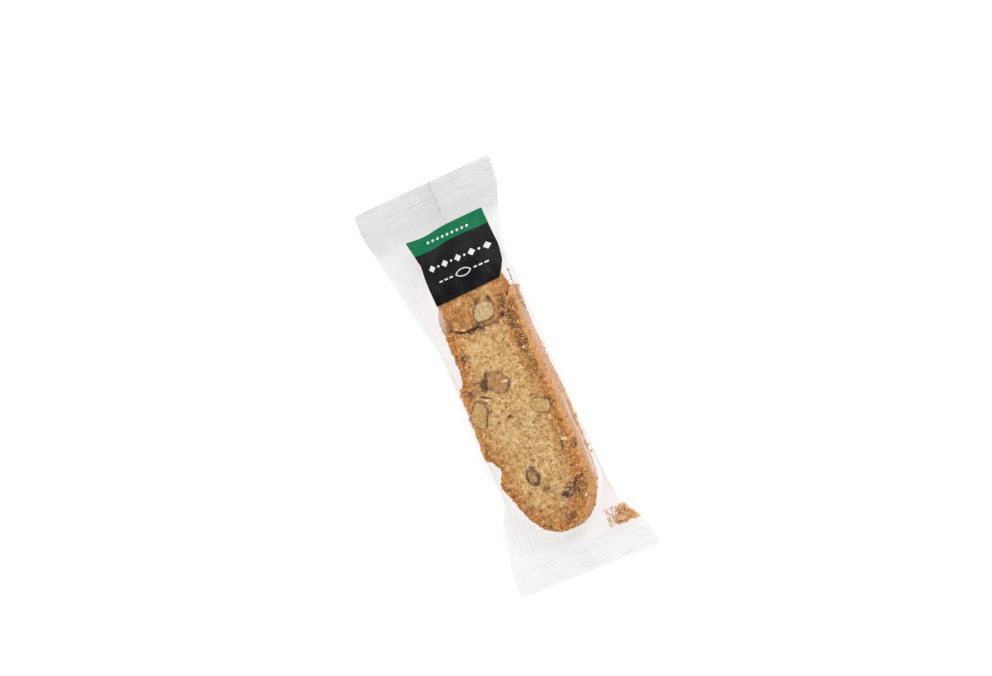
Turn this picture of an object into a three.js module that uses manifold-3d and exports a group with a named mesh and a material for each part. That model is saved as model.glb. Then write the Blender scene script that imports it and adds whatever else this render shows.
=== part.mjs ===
// One long biscotto sealed in a clear film pack, lying on its back seam with the printed side up.
// Millimetres. +Y runs along the pack to its head end, +X to its right, +Z up out of its front face.
// The pack is one closed solid: film drawn tight over the biscuit and tented down to two flat,
// crimped ends, with the lengthwise seam folded flat against its back.
import * as THREE from "three";
import { mergeVertices } from "three/addons/utils/BufferGeometryUtils.js";
import Module from "manifold-3d";

// The pack as a whole.
const PACK_LENGTH = 191.4; // over both crimped ends
const PACK_HEIGHT = 18.8; // from the table to the film over the biscuit
const BACK_CLEARANCE = 0.3; // the seam holds the back film this far off the table

// The biscuit inside, whose form the film takes.
const BISCUIT_LENGTH = 135.4;
const BISCUIT_WIDTH = 44;
const BISCUIT_CENTRE = { x: 2.35, y: -6.1 }; // it has slid to the foot end and to the right
const BISCUIT_END_RADIUS = 19.5; // seen from above
const FRONT_RIM_RADIUS = 4.2; // where the front face turns down into the sides
const BACK_RIM_RADIUS = 2.6;

// Over the biscuit's head end the film bends on a soft shoulder in place of the tight rim.
const SHOULDER_INSET = 3; // how far inside the outline it bends
const SHOULDER_EASE = 4; // half the width of the bend
const SHOULDER_START_Y = 34;
const SHOULDER_FULL_Y = 52;

// The crimped ends.
const HEAD_SEAL_LENGTH = 12.7;
const FOOT_SEAL_LENGTH = 15;
const SEAL_THICKNESS = 0.9;
const CRIMP_PITCH = 1.6;
const CRIMP_DEPTH = 0.18;
const CORNER_RADIUS = 1.6;

// The lengthwise seam on the back.
const SEAM_WIDTH = 7;
const SEAM_CENTRE_X = 0.5;
const SEAM_ROOT_DEPTH = 0.5; // how far its upper face is sunk in the pack

// Soft pleats that fan out of the crimped ends.
const PLEAT_COUNT = 5;
const PLEAT_DEPTH = 0.45;

// How finely the surface is divided.
const FRONT_COLUMNS = 22;
const BACK_COLUMNS = 14;
const BODY_STEP = 3.4;
const STEPS_PER_CRIMP = 3;
const EDGE_CROWDING = 1.6; // over 1 draws the columns together near the sides

const HEAD = PACK_LENGTH / 2;
const FOOT = -PACK_LENGTH / 2;
const HEAD_ROOT = HEAD - HEAD_SEAL_LENGTH;
const FOOT_ROOT = FOOT + FOOT_SEAL_LENGTH;

// Side edges and the height of that edge, from the head end to the foot end: [y, value].
const LEFT_EDGE = [
  [HEAD, -35.8], [88, -35.8], [HEAD_ROOT, -35.5], [74, -33.4], [60, -30.4], [48, -28],
  [34, -25.1], [18, -20.5], [4, -20.7], [-6, -21.6], [-26, -22.8], [-50, -22.4], [-55, -23.2],
  [-58, -25.8], [-63, -27.8], [-76, -31.5], [FOOT_ROOT, -32.9], [-86, -33.9], [FOOT, -34.9],
];
const RIGHT_EDGE = [
  [HEAD, 34.9], [HEAD_ROOT, 34], [78, 32], [66, 28], [56, 24.9], [50, 24.2], [30, 24.6],
  [8, 24.4], [0, 25.3], [-30, 26], [-48, 26.6], [-60, 26.9], [-70, 28.2], [-77, 32.3],
  [-83, 35], [-90, 35.8], [FOOT, 35.8],
];
const EDGE_HEIGHT = [
  [HEAD, 2.2], [HEAD_ROOT, 3.8], [60, 6], [34, 8], [-56, 8], [FOOT_ROOT, 6.6], [FOOT, 1.9],
];

// The value at y of a line through points listed from head to foot.
function along(points, y) {
  const next = points.findIndex(([at]) => at <= y);
  if (next === 0) return points[0][1];
  if (next < 0) return points[points.length - 1][1];
  const [[y0, v0], [y1, v1]] = [points[next - 1], points[next]];
  return THREE.MathUtils.mapLinear(y, y0, y1, v0, v1);
}

// How far a point lies outside the biscuit's rounded outline, negative inside it.
function outsideBiscuit(x, y) {
  const dx = Math.abs(x - BISCUIT_CENTRE.x) - BISCUIT_WIDTH / 2 + BISCUIT_END_RADIUS;
  const dy = Math.abs(y - BISCUIT_CENTRE.y) - BISCUIT_LENGTH / 2 + BISCUIT_END_RADIUS;
  const beyond = Math.hypot(Math.max(dx, 0), Math.max(dy, 0));
  return beyond + Math.min(Math.max(dx, dy), 0) - BISCUIT_END_RADIUS;
}

// How far a point lies inside the line where the front and the back film meet.
function insideEdge(x, y) {
  const toSide = Math.min(x - along(LEFT_EDGE, y), along(RIGHT_EDGE, y) - x);
  return Math.max(Math.min(toSide, HEAD_ROOT - y, y - FOOT_ROOT), 0);
}

// The drop of a rounded rim, from 0 well inside the biscuit to its whole radius at the outline.
function rimDrop(inside, radius) {
  const reach = THREE.MathUtils.clamp(radius - inside, 0, radius);
  return radius - Math.sqrt(radius ** 2 - reach ** 2);
}

// How much of the way from the film's edge up to the biscuit's rim the tented film has come.
function tentShare(x, y) {
  const gap = Math.max(outsideBiscuit(x, y), 0);
  const inside = insideEdge(x, y);
  return inside === 0 ? 0 : inside / (inside + gap);
}

// The same share where the film leaves the biscuit on a soft shoulder, inside its outline.
function shoulderShare(x, y) {
  const beyond = outsideBiscuit(x, y) + SHOULDER_INSET;
  const eased = Math.max(beyond + SHOULDER_EASE, 0) ** 2 / (4 * SHOULDER_EASE);
  const gap = beyond > SHOULDER_EASE ? beyond : eased;
  const inside = insideEdge(x, y);
  return inside === 0 ? 0 : inside / (inside + gap);
}

// A corrugation over the crimped ends, fading out at their roots.
function crimp(y) {
  const depth = Math.max(y - HEAD_ROOT, FOOT_ROOT - y);
  const strength = THREE.MathUtils.smoothstep(depth, 0, CRIMP_PITCH);
  return CRIMP_DEPTH * strength * Math.cos((2 * Math.PI * depth) / CRIMP_PITCH);
}

// Pleats across the tented film, deepest halfway up it and none at its edges.
function pleat(x, y, share) {
  const left = along(LEFT_EDGE, y);
  const across = (x - left) / (along(RIGHT_EDGE, y) - left);
  const free = outsideBiscuit(x, y) > 0 ? 4 * share * (1 - share) : 0;
  return PLEAT_DEPTH * free * Math.sin(2 * Math.PI * PLEAT_COUNT * across);
}

function frontHeight(x, y) {
  const edge = along(EDGE_HEIGHT, y) + SEAL_THICKNESS / 2;
  const share = tentShare(x, y);
  const crown = PACK_HEIGHT - rimDrop(-outsideBiscuit(x, y), FRONT_RIM_RADIUS);
  const tight = THREE.MathUtils.lerp(edge, crown, share);
  const soft = THREE.MathUtils.lerp(edge, PACK_HEIGHT, shoulderShare(x, y));
  const softness = THREE.MathUtils.smoothstep(y, SHOULDER_START_Y, SHOULDER_FULL_Y);
  return THREE.MathUtils.lerp(tight, soft, softness) + crimp(y) + pleat(x, y, share);
}

function backHeight(x, y) {
  const edge = along(EDGE_HEIGHT, y) - SEAL_THICKNESS / 2;
  const bed = BACK_CLEARANCE + rimDrop(-outsideBiscuit(x, y), BACK_RIM_RADIUS);
  return THREE.MathUtils.lerp(edge, bed, tentShare(x, y)) + crimp(y);
}

// How much the corners of the ends are rounded off at y.
function cornerCut(y) {
  const reach = Math.max(CORNER_RADIUS - (HEAD - Math.abs(y)), 0);
  return CORNER_RADIUS - Math.sqrt(CORNER_RADIUS ** 2 - reach ** 2);
}

// Columns from the left edge to the right edge at y, closer together near the edges.
function columnsAt(y, count) {
  const left = along(LEFT_EDGE, y) + cornerCut(y);
  const right = along(RIGHT_EDGE, y) - cornerCut(y);
  return Array.from({ length: count }, (_, i) => {
    const t = (2 * i) / (count - 1) - 1;
    const spread = Math.sign(t) * (1 - (1 - Math.abs(t)) ** EDGE_CROWDING);
    return (left + right) / 2 + (spread * (right - left)) / 2;
  });
}

// Even steps of about the given size, without the last point.
function steps(from, to, step) {
  const count = Math.round((to - from) / step);
  return Array.from({ length: count }, (_, i) => from + ((to - from) * i) / count);
}

// Stations from the foot to the head: fine over the crimps, wide over the body.
function stations() {
  const crimpStep = CRIMP_PITCH / STEPS_PER_CRIMP;
  return [
    ...steps(FOOT, FOOT_ROOT, crimpStep),
    ...steps(FOOT_ROOT, HEAD_ROOT, BODY_STEP),
    ...steps(HEAD_ROOT, HEAD, crimpStep),
    HEAD,
  ];
}

// One closed ring of the pack's surface: the front from right to left, then the back again.
function ringAt(y) {
  const front = columnsAt(y, FRONT_COLUMNS).reverse();
  const back = columnsAt(y, BACK_COLUMNS);
  return [
    ...front.map((x) => [x, y, frontHeight(x, y)]),
    ...back.map((x) => [x, y, backHeight(x, y)]),
  ];
}

// A closed body through a row of rings that run from -Y to +Y, its ends capped to their middles.
function loft(rings) {
  const size = rings[0].length;
  const positions = rings.flat(2);
  const index = [];
  for (let j = 0; j + 1 < rings.length; j++)
    for (let i = 0; i < size; i++) {
      const [a, b] = [j * size + i, j * size + ((i + 1) % size)];
      index.push(a, a + size, b, b, a + size, b + size);
    }
  for (const facesHead of [false, true]) {
    const ring = facesHead ? rings.at(-1) : rings[0];
    const first = facesHead ? (rings.length - 1) * size : 0;
    const middle = positions.length / 3;
    positions.push(...[0, 1, 2].map((k) => ring.reduce((sum, p) => sum + p[k], 0) / size));
    for (let i = 0; i < size; i++) {
      const pair = [first + i, first + ((i + 1) % size)];
      index.push(middle, ...(facesHead ? pair.reverse() : pair));
    }
  }
  const geometry = new THREE.BufferGeometry();
  geometry.setAttribute("position", new THREE.Float32BufferAttribute(positions, 3));
  geometry.setIndex(index);
  return geometry;
}

// The folded seam: a flat strip that follows the back film from one crimped end to the other.
function seamRingAt(y) {
  const [left, right] = [SEAM_CENTRE_X - SEAM_WIDTH / 2, SEAM_CENTRE_X + SEAM_WIDTH / 2];
  const under = Math.max(backHeight(SEAM_CENTRE_X, y) - BACK_CLEARANCE, 0);
  const upper = under + BACK_CLEARANCE + SEAM_ROOT_DEPTH;
  return [[right, y, upper], [left, y, upper], [left, y, under], [right, y, under]];
}

function seamStations() {
  return [...steps(FOOT_ROOT, HEAD_ROOT, BODY_STEP), HEAD_ROOT];
}

const wasm = await Module();
wasm.setup();

function toSolid(geometry) {
  const merged = mergeVertices(geometry);
  return new wasm.Manifold(new wasm.Mesh({
    numProp: 3,
    vertProperties: merged.attributes.position.array,
    triVerts: new Uint32Array(merged.index.array),
  }));
}

function toGeometry(solid) {
  const mesh = solid.getMesh();
  const geometry = new THREE.BufferGeometry();
  geometry.setAttribute("position", new THREE.BufferAttribute(mesh.vertProperties, 3));
  geometry.setIndex(new THREE.BufferAttribute(mesh.triVerts, 1));
  return geometry;
}

function sealedPack() {
  const film = toSolid(loft(stations().map(ringAt)));
  const seam = toSolid(loft(seamStations().map(seamRingAt)));
  const material = new THREE.MeshStandardMaterial({ color: 0xe8e6e4, roughness: 0.25, metalness: 0 });
  const mesh = new THREE.Mesh(toGeometry(film.add(seam)), material);
  mesh.name = "sealed_pack";
  return mesh;
}

const pack = new THREE.Group();
pack.add(sealedPack());
export default pack;
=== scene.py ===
# %% [markdown]
# # A biscotto in its clear pack
# A long almond biscuit lies in a pack of clear film. The film is welded across both ends, has a seam
# folded flat on its back, and carries one printed panel near its head end. The biscuit has cracked
# across under the panel, one long side is crumbling, and its crumbs have gathered in a corner.
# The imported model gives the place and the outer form, so the first step loads it.

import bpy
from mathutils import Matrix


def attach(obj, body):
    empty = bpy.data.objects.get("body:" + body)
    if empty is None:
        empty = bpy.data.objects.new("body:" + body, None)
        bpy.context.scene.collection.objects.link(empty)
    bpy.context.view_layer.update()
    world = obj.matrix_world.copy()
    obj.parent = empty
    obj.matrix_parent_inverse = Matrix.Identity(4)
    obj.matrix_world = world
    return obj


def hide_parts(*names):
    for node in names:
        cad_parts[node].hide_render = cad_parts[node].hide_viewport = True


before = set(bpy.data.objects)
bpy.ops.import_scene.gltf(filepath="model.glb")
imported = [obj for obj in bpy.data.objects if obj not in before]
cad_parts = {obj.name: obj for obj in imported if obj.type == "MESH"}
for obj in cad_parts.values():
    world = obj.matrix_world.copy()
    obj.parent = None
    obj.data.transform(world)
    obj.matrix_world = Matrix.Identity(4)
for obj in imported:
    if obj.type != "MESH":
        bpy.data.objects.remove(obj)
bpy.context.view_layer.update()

# %% [markdown]
# ## Units and small helpers
# Sizes are written in millimetres, because that is how a pack is measured, and become metres only
# when a mesh is made. Each finished piece rides on the one body and stands for the pack's solid.

# %% Helpers for making pieces
import math

import bpy
import numpy as np
from mathutils import Matrix, Vector, noise

MM = 0.001
PACK_NODE = "sealed_pack"


def link(name, mesh):
    piece = bpy.data.objects.new(name, mesh)
    bpy.context.scene.collection.objects.link(piece)
    return piece


def make_piece(name, points, faces, material):
    """A smooth-shaded piece from points in millimetres."""
    mesh = bpy.data.meshes.new(name)
    mesh.from_pydata((np.asarray(points, float) * MM).tolist(), [], faces)
    mesh.materials.append(material)
    mesh.shade_smooth()
    return link(name, mesh)


def finish_piece(piece):
    """Hands a finished piece to the frame and says how large it came out."""
    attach(piece, "root")
    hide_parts(PACK_NODE)
    piece.data.calc_loop_triangles()
    print(f"{piece.name}: {len(piece.data.loop_triangles)} triangles")


def flatten_modifiers(piece):
    """Turns a piece with modifiers into a plain mesh with the same looks."""
    evaluated = piece.evaluated_get(bpy.context.evaluated_depsgraph_get())
    mesh = bpy.data.meshes.new_from_object(evaluated)
    piece.modifiers.clear()
    old = piece.data
    piece.data = mesh
    bpy.data.meshes.remove(old)
    mesh.name = piece.name


# %% Reading and marking a mesh
def positions(mesh):
    values = np.empty(len(mesh.vertices) * 3, np.float32)
    mesh.vertices.foreach_get("co", values)
    return values.reshape(-1, 3).astype(float) / MM


def vertex_normals(mesh):
    values = np.empty(len(mesh.vertices) * 3, np.float32)
    mesh.vertex_normals.foreach_get("vector", values)
    return values.reshape(-1, 3).astype(float)


def set_positions(mesh, points):
    mesh.vertices.foreach_set("co", (np.asarray(points) * MM).astype(np.float32).ravel())
    mesh.update()


def set_mask(mesh, name, values):
    """A number from 0 to 1 at each vertex, for a material to read."""
    mask = mesh.attributes.new(name, "FLOAT", "POINT")
    mask.data.foreach_set("value", np.clip(values, 0, 1).astype(np.float32))


def smoothstep(value, low, high):
    t = np.clip((np.asarray(value, float) - low) / (high - low), 0, 1)
    return t * t * (3 - 2 * t)


# %% [markdown]
# ## The form of the film
# Film is drawn tight over the biscuit and hangs like a tent from the biscuit's rim to the line where
# front and back meet. So its height anywhere is a blend: the share of the way from the pack's edge to
# the biscuit's rim. A few named lengths give the whole form, and they are the pack's own.

# %% Driving sizes of the pack
PACK_LENGTH = 191.4
PACK_HEIGHT = 18.8
BACK_CLEARANCE = 0.3
HEAD_SEAL, FOOT_SEAL = 12.7, 15.0
HEAD, FOOT = PACK_LENGTH / 2, -PACK_LENGTH / 2
HEAD_ROOT, FOOT_ROOT = HEAD - HEAD_SEAL, FOOT + FOOT_SEAL

BED_CENTRE = (2.35, -6.1)
BED_SIZE = (44.0, 135.4)
BED_END_RADIUS = 19.5
FRONT_RIM, BACK_RIM = 4.2, 2.6
SHOULDER_INSET, SHOULDER_EASE = 3.0, 4.0  # the soft bend over the biscuit's head end
SHOULDER_START_Y, SHOULDER_FULL_Y = 34, 52

LEFT_EDGE = [
    (HEAD, -35.8), (88, -35.8), (HEAD_ROOT, -35.5), (74, -33.4), (60, -30.4), (48, -28), (34, -25.1),
    (18, -20.5), (4, -20.7), (-6, -21.6), (-26, -22.8), (-50, -22.4), (-55, -23.2), (-58, -25.8),
    (-63, -27.8), (-76, -31.5), (FOOT_ROOT, -32.9), (-86, -33.9), (FOOT, -34.9),
]
RIGHT_EDGE = [
    (HEAD, 34.9), (HEAD_ROOT, 34), (78, 32), (66, 28), (56, 24.9), (50, 24.2), (30, 24.6), (8, 24.4),
    (0, 25.3), (-30, 26), (-48, 26.6), (-60, 26.9), (-70, 28.2), (-77, 32.3), (-83, 35), (-90, 35.8),
    (FOOT, 35.8),
]
EDGE_HEIGHT = [
    (HEAD, 2.2), (HEAD_ROOT, 3.8), (60, 6), (34, 8), (-56, 8), (FOOT_ROOT, 6.6), (FOOT, 1.9),
]


def along(points, y):
    """The value at y of a line through points listed from head to foot."""
    places, values = zip(*reversed(points))
    return np.interp(y, places, values)


def outside_bed(x, y):
    """How far a point lies outside the biscuit's rounded outline, negative inside it."""
    dx = np.abs(x - BED_CENTRE[0]) - BED_SIZE[0] / 2 + BED_END_RADIUS
    dy = np.abs(y - BED_CENTRE[1]) - BED_SIZE[1] / 2 + BED_END_RADIUS
    beyond = np.hypot(np.maximum(dx, 0), np.maximum(dy, 0))
    return beyond + np.minimum(np.maximum(dx, dy), 0) - BED_END_RADIUS


def inside_edge(x, y):
    to_side = np.minimum(x - along(LEFT_EDGE, y), along(RIGHT_EDGE, y) - x)
    return np.minimum(np.minimum(to_side, HEAD_ROOT - y), y - FOOT_ROOT).clip(0)


def tent_share(x, y):
    """How much of the way from the pack's edge up to the biscuit's rim the film has come."""
    inside = inside_edge(x, y)
    return inside / (inside + outside_bed(x, y).clip(0) + 1e-9)


def shoulder_share(x, y):
    """The same where the film leaves the biscuit on a soft shoulder, inside its outline."""
    beyond = outside_bed(x, y) + SHOULDER_INSET
    eased = (beyond + SHOULDER_EASE).clip(0) ** 2 / (4 * SHOULDER_EASE)
    inside = inside_edge(x, y)
    return inside / (inside + np.where(beyond > SHOULDER_EASE, beyond, eased) + 1e-9)


def rim_drop(inside, radius):
    reach = np.clip(radius - inside, 0, radius)
    return radius - np.sqrt(radius**2 - reach**2)


# %% [markdown]
# ## Creases and crimps
# Three kinds of relief lie on that form. Hot jaws press fine ribs across the ends, a little wavy
# because film slips. From the ends, sharp creases fan out over the tented parts. Over the biscuit the
# film has only long soft waves. A smooth random field, one value at each crossing of a grid, gives
# all three their unevenness, and its seeds keep every run the same.

# %% A random field and the crimps
CRIMP_PITCH = 1.6
CRIMP_DEPTH = 0.16


def field(a, b, seed):
    """Smooth random values from -1 to 1 over a plane."""
    side = 64
    cells = np.random.default_rng(seed).uniform(-1, 1, (side, side))
    i, j = np.floor(a).astype(int), np.floor(b).astype(int)
    u, v = a - i, b - j
    u, v = u * u * (3 - 2 * u), v * v * (3 - 2 * v)
    low = cells[i % side, j % side] * (1 - u) + cells[(i + 1) % side, j % side] * u
    high = cells[i % side, (j + 1) % side] * (1 - u) + cells[(i + 1) % side, (j + 1) % side] * u
    return low * (1 - v) + high * v


def ripple(a, seed):
    """The same along a line."""
    return field(a, a * 0, seed)


def crimp_wave(x, y):
    """How deep in a weld a point lies, how strong the ribs are there, and their wave from -1 to 1."""
    depth = np.maximum(y - HEAD_ROOT, FOOT_ROOT - y)
    wander = 0.5 * field(x / 13, y / 7, 3) + 0.16 * field(x / 4, y / 3, 4)
    strength = smoothstep(depth, 0, CRIMP_PITCH) * (0.6 + 0.4 * field(x / 9, y / 2.2, 5))
    return depth, strength, np.cos(2 * math.pi * (depth + wander) / CRIMP_PITCH)


def crimp(x, y):
    """Ribs over the welded ends, fading in from their roots."""
    _, strength, wave = crimp_wave(x, y)
    return CRIMP_DEPTH * strength * wave


# %% Folds and waves
CREASE_DEPTH = 0.75
WAVE_DEPTH = 0.1
PRINT_X, PRINT_Y = (5, 17), (59, 18)  # the panel's middle and half size along each axis


def fold_fan(x, y, seed):
    """Sharp-ridged folds that fan out from the ends: 1 on a ridge, -1 in a valley."""
    left, right = along(LEFT_EDGE, y), along(RIGHT_EDGE, y)
    across = (x - left) / (right - left)
    broad = 1 - 2 * np.abs(field(across * 9, y / 21, seed))
    fine = 1 - 2 * np.abs(field(across * 21 + y / 9, y / 13, seed + 1))
    return 0.7 * broad + 0.3 * fine


def under_print(x, y):
    """1 where the ink stiffens the film and keeps it smooth, 0 well outside the panel."""
    beyond = np.maximum(np.abs(x - PRINT_X[0]) - PRINT_X[1], np.abs(y - PRINT_Y[0]) - PRINT_Y[1])
    return 1 - smoothstep(beyond, -1, 5)


def creases(x, y, share, seed):
    """Folds over the tented film, and long waves over the biscuit."""
    free = np.where(outside_bed(x, y) > 0, 4 * share * (1 - share), 0)
    waves = field(x / 6, y / 24, seed + 2) * smoothstep(share, 0.6, 1)
    calm = 1 - 0.85 * under_print(x, y)
    return calm * (CREASE_DEPTH * free * fold_fan(x, y, seed) + WAVE_DEPTH * waves)


# %% Single long folds
# Each row: x, y at one end, x, y at the other, height, half width.
NAMED_FOLDS = [
    (33.0, 80.0, 24.5, 73.5, 0.7, 0.9),    # from the right corner to the panel
    (-33.5, 81.0, -17.5, 66.0, 0.5, 1.0),  # three that fan out of the left corner
    (-33.0, 80.0, -20.5, 50.0, 0.6, 1.1),
    (-30.5, 73.0, -24.0, 44.0, 0.4, 0.8),
    (-21.6, -52.5, -25.0, -70.0, 0.5, 1.1),  # past the crumbled side
    (31.5, -78.5, 24.5, -58.0, 0.5, 1.0),
]


def named_folds(x, y):
    """The ridges of the named folds, 1 on a ridge, and their height in millimetres."""
    ridge, height = np.zeros_like(x), np.zeros_like(x)
    for x0, y0, x1, y1, high, half_width in NAMED_FOLDS:
        length = math.hypot(x1 - x0, y1 - y0)
        ux, uy = (x1 - x0) / length, (y1 - y0) / length
        run = (x - x0) * ux + (y - y0) * uy
        off = (x - x0) * uy - (y - y0) * ux + 0.7 * ripple(run / 9, 17)
        ends = smoothstep(run, 0, 0.3 * length) * smoothstep(length - run, 0, 0.3 * length)
        profile = ends / (1 + (off / half_width) ** 2) ** 1.5
        ridge = np.maximum(ridge, profile)
        height = np.maximum(height, high * profile)
    return ridge, height


# %% [markdown]
# Form and relief now add up to two rules: the height of the front film and that of the back film at
# any place. All that lies on the films or between them asks these two, and so it fits them.

# %% Heights of the two films
WELD_HALF = 0.14  # half the thickness where front and back are welded


def front_height(x, y):
    share = tent_share(x, y)
    edge = along(EDGE_HEIGHT, y) + WELD_HALF
    crown = PACK_HEIGHT - rim_drop(-outside_bed(x, y), FRONT_RIM)
    tight = edge + (crown - edge) * share
    soft = edge + (PACK_HEIGHT - edge) * shoulder_share(x, y)
    form = tight + (soft - tight) * smoothstep(y, SHOULDER_START_Y, SHOULDER_FULL_Y)
    return form + crimp(x, y) + creases(x, y, share, 10) + named_folds(x, y)[1]


def back_height(x, y):
    share = tent_share(x, y)
    edge = along(EDGE_HEIGHT, y) - WELD_HALF
    bed = BACK_CLEARANCE + rim_drop(-outside_bed(x, y), BACK_RIM)
    relief = creases(x, y, share, 20) * np.where(outside_bed(x, y) > 0, 0.6, 0)
    return edge + (bed - edge) * share + crimp(x, y) + relief


middle = [np.array([value]) for value in BED_CENTRE]
print("film over the biscuit's middle, mm:", front_height(*middle)[0].round(2))

# %% [markdown]
# ## Film, print and seam finishes
# Clear film hides little, and shows itself by gloss, by a faint milky haze and by looking denser
# where it is seen edge-on. One glossy shader with a low alpha does this, and a facing weight raises
# the alpha towards the edges of the form. A noise makes the haze uneven, as handled film is.

# %% Material helpers
def new_material(name, roughness, specular=0.5):
    material = bpy.data.materials.new(name)
    material.use_nodes = True
    shader = material.node_tree.nodes["Principled BSDF"]
    shader.inputs["Roughness"].default_value = roughness
    shader.inputs["Specular IOR Level"].default_value = specular
    return material, material.node_tree, shader


def add_node(tree, kind, values=None, **settings):
    node = tree.nodes.new(kind)
    for name, value in settings.items():
        setattr(node, name, value)
    for name, value in (values or {}).items():
        node.inputs[name].default_value = value
    return node


def wire(tree, source, target):
    tree.links.new(source, target)


def object_coordinates(tree):
    return add_node(tree, "ShaderNodeTexCoord").outputs["Object"]


def noise_texture(tree, scale, detail=3.0, roughness=0.5, vector=None):
    values = {"Scale": scale, "Detail": detail, "Roughness": roughness}
    node = add_node(tree, "ShaderNodeTexNoise", values)
    wire(tree, vector or object_coordinates(tree), node.inputs["Vector"])
    return node.outputs["Fac"]


def map_range(tree, value, low, high, to_low, to_high):
    node = add_node(tree, "ShaderNodeMapRange", {
        "From Min": low, "From Max": high, "To Min": to_low, "To Max": to_high})
    wire(tree, value, node.inputs["Value"])
    return node.outputs["Result"]


# %% Sums, mixes and masks in a material
def maths(tree, operation, first, second):
    node = add_node(tree, "ShaderNodeMath", operation=operation)
    for socket, value in zip(node.inputs, (first, second)):
        if isinstance(value, (int, float)):
            socket.default_value = value
        else:
            wire(tree, value, socket)
    return node.outputs[0]


def mix_colour(tree, factor, first, second):
    node = add_node(tree, "ShaderNodeMix", data_type="RGBA")
    wire(tree, factor, node.inputs["Factor"])
    for name, value in (("A", first), ("B", second)):
        socket = next(s for s in node.inputs if s.name == name and s.type == "RGBA")
        if isinstance(value, tuple):
            socket.default_value = (*value, 1)
        else:
            wire(tree, value, socket)
    return next(s for s in node.outputs if s.type == "RGBA")


def read_mask(tree, name):
    return add_node(tree, "ShaderNodeAttribute", attribute_name=name).outputs["Fac"]


# %% The clear film's finish
FILM_TINT = (0.5, 0.48, 0.485)
# The pale tint serves milky film and painted highlights, the line tint painted shade lines.
FILM_PALE_AND_HIGHLIGHT = (0.86, 0.835, 0.84)
FILM_SHADE_LINE = (0.24, 0.225, 0.23)
FILM_HAZE, FILM_HAZE_EDGE_ON = 0.03, 0.6
SEAM_HAZE, SEAM_HAZE_EDGE_ON = 0.003, 0.1
SHADE_LINE_HAZE = 0.13


def film_material(name, haze, edge_on):
    """Clear film: glossy, with more body where it turns away from the eye and where a mask adds haze."""
    material, tree, shader = new_material(name, 0.16)
    facing = add_node(tree, "ShaderNodeLayerWeight", {"Blend": 0.5}).outputs["Facing"]
    steep = maths(tree, "POWER", facing, 4.0)
    line = read_mask(tree, "line")
    pale = maths(tree, "MAXIMUM", maths(tree, "MULTIPLY", steep, 3.0), read_mask(tree, "pale"))
    # Pale where the mask paints highlights or milky film, dark where the line mask paints shade.
    tint = mix_colour(tree, pale, FILM_TINT, FILM_PALE_AND_HIGHLIGHT)
    wire(tree, mix_colour(tree, line, tint, FILM_SHADE_LINE), shader.inputs["Base Color"])
    uneven = map_range(tree, noise_texture(tree, 90, 4), 0.3, 0.7, 0.8, 1.25)
    body = maths(tree, "MULTIPLY", map_range(tree, steep, 0, 1, haze, edge_on), uneven)
    body = maths(tree, "ADD", body, read_mask(tree, "haze"))
    body = maths(tree, "ADD", body, maths(tree, "MULTIPLY", line, SHADE_LINE_HAZE))
    wire(tree, body, shader.inputs["Alpha"])
    scuffs = map_range(tree, noise_texture(tree, 240, 4), 0.3, 0.7, 0.1, 0.26)
    wire(tree, scuffs, shader.inputs["Roughness"])
    return material


clear_film = film_material("clear_film", FILM_HAZE, FILM_HAZE_EDGE_ON)
seam_film = film_material("seam_film", SEAM_HAZE, SEAM_HAZE_EDGE_ON)
print("film finishes:", clear_film.name, seam_film.name)

# %% [markdown]
# ## The film as one closed skin
# A tube of film flattened at both ends is a row of rings. At each place along the pack the front and
# the back line are worked out finely, then shared out again into columns of equal length, so that the
# steep sides get as many columns as they need. The rings run closer together over the crimps.

# %% Rings across the film
FILM_COLUMNS = 92
FINE_SAMPLES = 400
BODY_STEP = 0.85
CRIMP_STEP = 0.27
CORNER_RADIUS = 1.6


def edge_limits(y):
    """Left and right end of the film at y, with the corners of the ends rounded off."""
    reach = max(CORNER_RADIUS - (HEAD - abs(y)), 0)
    cut = CORNER_RADIUS - math.sqrt(CORNER_RADIUS**2 - reach**2)
    return along(LEFT_EDGE, y) + cut, along(RIGHT_EDGE, y) - cut


def even_profile(y, height, left, right, columns):
    """A line across the film at y, as points an equal length apart."""
    t = np.linspace(-1, 1, FINE_SAMPLES)
    spread = np.sign(t) * (1 - (1 - np.abs(t)) ** 2)
    x = (left + right) / 2 + spread * (right - left) / 2
    z = height(x, np.full_like(x, y))
    length = np.concatenate([[0], np.cumsum(np.hypot(np.diff(x), np.diff(z)))])
    wanted = np.linspace(0, length[-1], columns)
    return np.stack([np.interp(wanted, length, x), np.full(columns, y), np.interp(wanted, length, z)], 1)


def film_stations():
    def steps(start, end, step):
        return np.linspace(start, end, max(round(abs(end - start) / step), 1), endpoint=False)

    return np.concatenate([
        steps(FOOT, FOOT_ROOT, CRIMP_STEP), steps(FOOT_ROOT, HEAD_ROOT, BODY_STEP),
        steps(HEAD_ROOT, HEAD, CRIMP_STEP), [HEAD]])


# %% Build the film
def ring_faces(rings, size):
    """The faces between rings of one size that follow each other."""
    faces = []
    for j in range(rings - 1):
        for i in range(size):
            a, b = j * size + i, j * size + (i + 1) % size
            faces.append((a, a + size, b + size, b))
    return faces


def build_film():
    stations = film_stations()
    rings = []
    for y in stations:
        left, right = edge_limits(y)
        front = even_profile(y, front_height, left, right, FILM_COLUMNS)[::-1]
        back = even_profile(y, back_height, left, right, FILM_COLUMNS)
        rings.append(np.concatenate([front, back]))
    size = 2 * FILM_COLUMNS
    faces = ring_faces(len(rings), size)
    for first, flip in ((0, False), ((len(rings) - 1) * size, True)):
        for i in range(FILM_COLUMNS - 1):
            quad = (first + i, first + i + 1, first + size - 2 - i, first + size - 1 - i)
            faces.append(quad[::-1] if flip else quad)
    return make_piece("film", np.concatenate(rings), faces, clear_film)


film = build_film()
print("film points:", len(film.data.vertices))
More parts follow.
